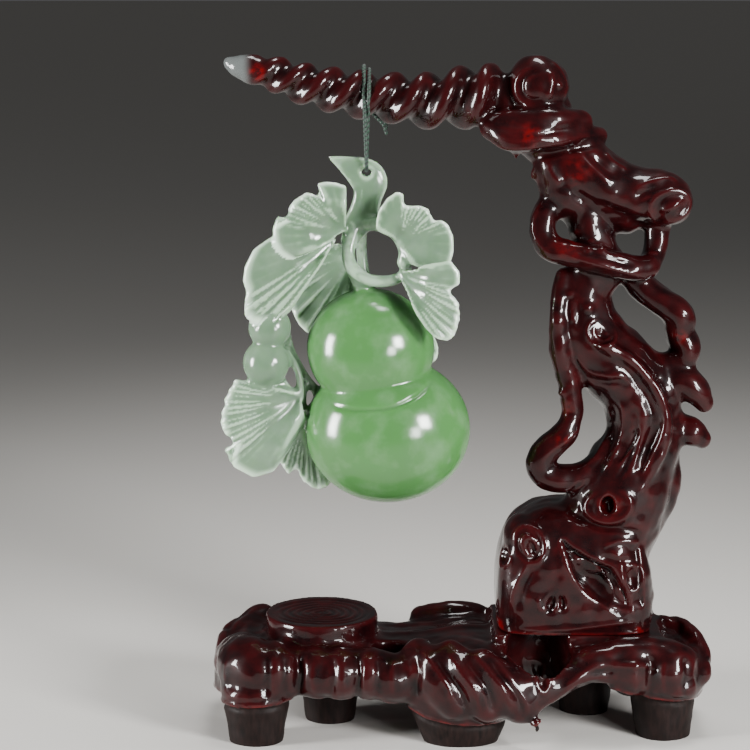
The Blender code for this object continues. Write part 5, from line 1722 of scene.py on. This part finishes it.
    def bulb_shares(self, places: np.ndarray) -> np.ndarray:
        """Finds how far each point is out from the middle of the nearer bulb, 1 at its skin."""
        drawn = self.drawing.drawn(places)
        shares = []
        for centre, radii in ((self.lower_bulb, self.lower_radii), (self.upper_bulb, self.upper_radii)):
            shares.append(np.linalg.norm((drawn - np.array(centre)) / np.array(radii), axis=1))
        return np.minimum(*shares)

    def small_shares(self, places: np.ndarray) -> np.ndarray:
        """Finds which points lie on the small gourd's bulbs, 1 on them and 0 away from them."""
        shares = np.zeros(len(places))
        for bulb in self.small_bulbs:
            x, y, z, radius = self.drawing.station(bulb)
            reach = np.linalg.norm(places - np.array((x, y, z)), axis=1) / radius
            shares = np.maximum(shares, ramp(-reach, -1.15, -1.05))
        return shares

    def drill(self, blank: Blank) -> None:
        """Drills the hole that the thread runs through."""
        turn = Matrix.Rotation(math.pi / 2, 4, "X")
        size = (self.hole_width / 2, 1.0, self.hole_height / 2)
        cutter = bar_cutter(sides=32, length=0.03, size=size, place=self.drawing.origin, turn=turn)
        cut_away(blank.item, cutter)

    def build(self, finishes: Finishes) -> bpy.types.Object:
        """Builds the carving and dresses it."""
        blank = Blank("jade_carving", self.drawing)
        unit = self.drawing.grid[0]
        bulbs = ((self.lower_bulb, self.lower_radii), (self.upper_bulb, self.upper_radii))
        for centre, radii in bulbs:
            blank.ball(self.drawing.point(*centre), [radius * unit for radius in radii], 5)
        for bulb in self.small_bulbs:
            blank.knob(bulb)
        widest = max(station[3] for station in self.stalk) * unit
        blank.limb(Limb(self.stalk, self.stalk_thickness / 2 / widest, 24))
        for vine in self.vines():
            blank.limb(vine)
        for leaf in self.leaves().values():
            self.add_leaf(blank, leaf)
        blank.fuse(self.rough_grain, 1)
        self.drill(blank)
        blank.fuse(self.grain, 3)
        crease = ((-13.5, -82.0), (-8.7, -84.4), (0.7, -85.1), (10.0, -83.8), (17.9, -79.7), (23.8, -73.8))
        blank.carve([Stroke(crease, 0.8, -0.9)])
        edge = self.groove_leaves(blank)
        mesh = blank.item.data
        places = read_mesh(mesh)[0]
        green = ramp(-self.bulb_shares(places), -1.12, -1.02)
        even = np.maximum(green, self.small_shares(places))
        set_attribute(mesh, "green", green)
        # Painted highlight: the jade material lightens leaf rims (edge) and convex crests toward its cloud
        # colour.
        set_attribute(mesh, "edge", edge)
        set_attribute(mesh, "crest", ramp(convexity(mesh, 2), 0.15, 0.8) * 0.5 * (1.0 - even))
        mesh.materials.append(finishes.jade)
        return blank.item


@dataclass
class HangingThread:
    """The thread over the arm and through the carving, with its knot and two tails."""

    diameter: float = 0.0014
    knot_radius: float = 0.0016
    tail_spread: float = 1.4
    strand_spacing: float = 0.0018
    fit_gap: float = 0.0003
    knot_drop: float = 0.55
    point_spacing: float = 2.2

    def knot_centre(self, upright: RootUpright, carving: JadeGourd) -> Vector:
        """Finds the middle of the knot, behind the arm."""
        centre, radius = upright.arm_at(upright.x - carving.cord_from_foot)[:2]
        back = centre.y + radius + self.knot_radius * 1.2
        return Vector((centre.x, back, centre.z - radius * self.knot_drop))

    def strand(self, upright: RootUpright, carving: JadeGourd, side: int) -> list[Vector]:
        """Finds one of the two strands, from behind the arm over its top and down its front.

        Args:
            upright: The upright that carries the arm.
            carving: The carving that hangs.
            side: -1 for the left strand and 1 for the right one.

        Returns:
            Points of the strand.
        """
        shift = side * self.strand_spacing / 2
        centre, radius, distance = upright.arm_at(upright.x - carving.cord_from_foot + shift)
        lift = self.diameter / 2 + self.fit_gap
        start = Vector((shift, 0.0, self.knot_radius + self.fit_gap))
        points = [self.knot_centre(upright, carving) + start]
        for degrees in range(-80, 81, 20):
            angle = math.radians(degrees)
            reach = radius * upright.twist(angle, distance) + lift
            around = Vector((0.0, -math.sin(angle), math.cos(angle)))
            points.append(centre + around * reach)
        return points

    def route(self, upright: RootUpright, carving: JadeGourd) -> list[Vector]:
        """Finds the thread's line: over the arm, down, through the hole, and back beside itself."""
        hole = Vector(carving.drawing.origin)
        lift = self.diameter / 2 + self.fit_gap
        points = self.strand(upright, carving, -1)
        turn = carving.stalk_thickness / 2 + lift + self.fit_gap
        rest = hole.z + carving.hole_height / 2 - lift
        for degrees in range(-90, 91, 30):
            angle = math.radians(degrees)
            y = hole.y + turn * math.sin(angle)
            z = rest + turn * (1 - math.cos(angle)) * 0.9
            points.append(Vector((hole.x, y, z)))
        points += reversed(self.strand(upright, carving, 1))
        return even_route(points, self.diameter * self.point_spacing)

    def build_cord(self, finishes: Finishes, upright: RootUpright, carving: JadeGourd) -> bpy.types.Object:
        """Builds the thread as one open curve."""
        curve = bpy.data.curves.new("green_thread", "CURVE")
        curve.dimensions = "3D"
        curve.bevel_depth = self.diameter / 2
        curve.bevel_resolution = 4
        curve.use_fill_caps = True
        route = self.route(upright, carving)
        spline = curve.splines.new("POLY")
        spline.points.add(len(route) - 1)
        for point, place in zip(spline.points, route):
            point.co = (*place, 1.0)
        curve.materials.append(finishes.thread)
        item = bpy.data.objects.new("green_thread", curve)
        bpy.context.scene.collection.objects.link(item)
        return item

    def build_knot(self, finishes: Finishes, upright: RootUpright, carving: JadeGourd) -> bpy.types.Object:
        """Builds the knot with its two short tails."""
        knot = self.knot_centre(upright, carving)
        radius = self.knot_radius
        unit = Drawing((0.0, 0.0, 0.0), (1.0, 1.0, 1.0))
        blank = Blank("thread_knot", unit)
        blank.ball(knot, (radius * 1.2, radius, radius))
        tail = ((0.0, 0.0, 0.0), (1.9, 0.0, 0.6), (3.75, 0.6, 2.5), (4.4, 0.6, 4.4))
        for spread in (0.0, self.tail_spread):
            stations = []
            for right, forward, down in tail:
                drop = down + spread if right else 0.0
                place = knot + Vector((right, -forward, -drop)) * radius
                stations.append((*place, self.diameter / 2))
            blank.limb(Limb(stations, 1.0, 12))
        blank.fuse(0.0002, 2)
        blank.item.data.materials.append(finishes.thread)
        return blank.item


@dataclass(frozen=True)
class Studio:
    """The camera, the soft lights and the pale floor."""

    camera: tuple[float, float, float] = (-0.0306, -0.894, 0.300)
    aim: tuple[float, float, float] = (-0.0306, 0.006, 0.12751)
    lens_mm: float = 122.26
    sensor_mm: float = 36.0
    spread_degrees: float = 80.0
    glow: str = "#c9c9c9"
    glow_strength: float = 0.14
    floor: str = "#c6c3be"

    def build(self) -> None:
        """Builds the whole studio."""
        self.add_camera()
        softboxes = (
            ("left_softbox", (-0.82, -0.24, 0.22), (0.18, 0.42), 3.8),
            ("right_softbox", (0.60, -0.58, 0.36), (0.21, 0.25), 3.3),
            ("top_softbox", (0.10, 0.10, 0.95), (0.40, 0.20), 1.2),
            ("low_softbox", (0.48, -0.76, 0.16), (0.17, 0.20), 0.9),
        )
        for softbox in softboxes:
            self.add_light(*softbox)
        self.add_floor()
        world = bpy.data.worlds.new("studio")
        world.use_nodes = True
        background = world.node_tree.nodes["Background"]
        background.inputs["Color"].default_value = linear(self.glow)
        background.inputs["Strength"].default_value = self.glow_strength
        bpy.context.scene.world = world

    def aimed(self, item: bpy.types.Object, place: Sequence[float], aim: Sequence[float]) -> None:
        """Puts an object at a place and turns it towards another."""
        item.location = place
        item.rotation_euler = (Vector(aim) - Vector(place)).to_track_quat("-Z", "Y").to_euler()
        bpy.context.scene.collection.objects.link(item)

    def add_camera(self) -> None:
        """Adds the camera at the photograph's angle."""
        camera = bpy.data.cameras.new("camera")
        camera.lens = self.lens_mm
        camera.sensor_width = self.sensor_mm
        camera.clip_end = 20.0
        item = bpy.data.objects.new("camera", camera)
        self.aimed(item, self.camera, self.aim)
        bpy.context.scene.camera = item

    def add_light(self, name: str, place: Sequence[float], size: Sequence[float], power: float) -> None:
        """Adds a softbox that looks at the object.

        Args:
            name: The light's name.
            place: Where it stands, in metres.
            size: Its width and height, in metres.
            power: Its power in watts.
        """
        light = bpy.data.lights.new(name, "AREA")
        light.shape = "RECTANGLE"
        light.size, light.size_y = size
        light.spread = math.radians(self.spread_degrees)
        light.energy = power
        self.aimed(bpy.data.objects.new(name, light), place, (0.0, 0.0, 0.12))

    def add_floor(self) -> None:
        """Adds the pale floor, which isn't part of the object."""
        bm = bmesh.new()
        bmesh.ops.create_grid(bm, x_segments=1, y_segments=1, size=6.0)
        mesh = bpy.data.meshes.new("floor")
        bm.to_mesh(mesh)
        bm.free()
        material, shader = new_material("pale_studio_floor")
        shader.inputs["Base Color"].default_value = linear(self.floor)
        shader.inputs["Roughness"].default_value = 0.8
        mesh.materials.append(material)
        item = bpy.data.objects.new("floor", mesh)
        bpy.context.scene.collection.objects.link(item)


def place_piece(item: bpy.types.Object, node: str) -> None:
    """Fixes a finished piece to the frame in place of its CAD node.

    Args:
        item: The piece.
        node: The CAD node that it stands for.
    """
    if item.type == "MESH":
        item.data.shade_smooth()
        log.info("%s: %d faces for %s", item.name, len(item.data.polygons), node)
    else:
        log.info("%s for %s", item.name, node)
    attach(item, "root")
    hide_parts(node)


def main() -> None:
    """Builds the studio, the stand, the carving and the thread."""
    logging.basicConfig(level=logging.INFO, format="%(name)s: %(message)s")
    Studio().build()
    finishes = Finishes(RootLacquer().make(), BareFoot().make(), Serpentine().make(), TwistedThread().make())
    upright = RootUpright()
    carving = JadeGourd()
    carving.hang(upright)
    thread = HangingThread()
    cord = thread.build_cord(finishes, upright, carving)
    knot = thread.build_knot(finishes, upright, carving)
    place_piece(cord, "hanging_cord")
    place_piece(knot, "cord_knot")
    route = thread.route(upright, carving)
    place_piece(RootBase().build(finishes, upright), "root_base")
    place_piece(upright.build(finishes), "root_upright")
    place_piece(carving.build(finishes), "jade_gourd")


if __name__ == "__main__":
    main()
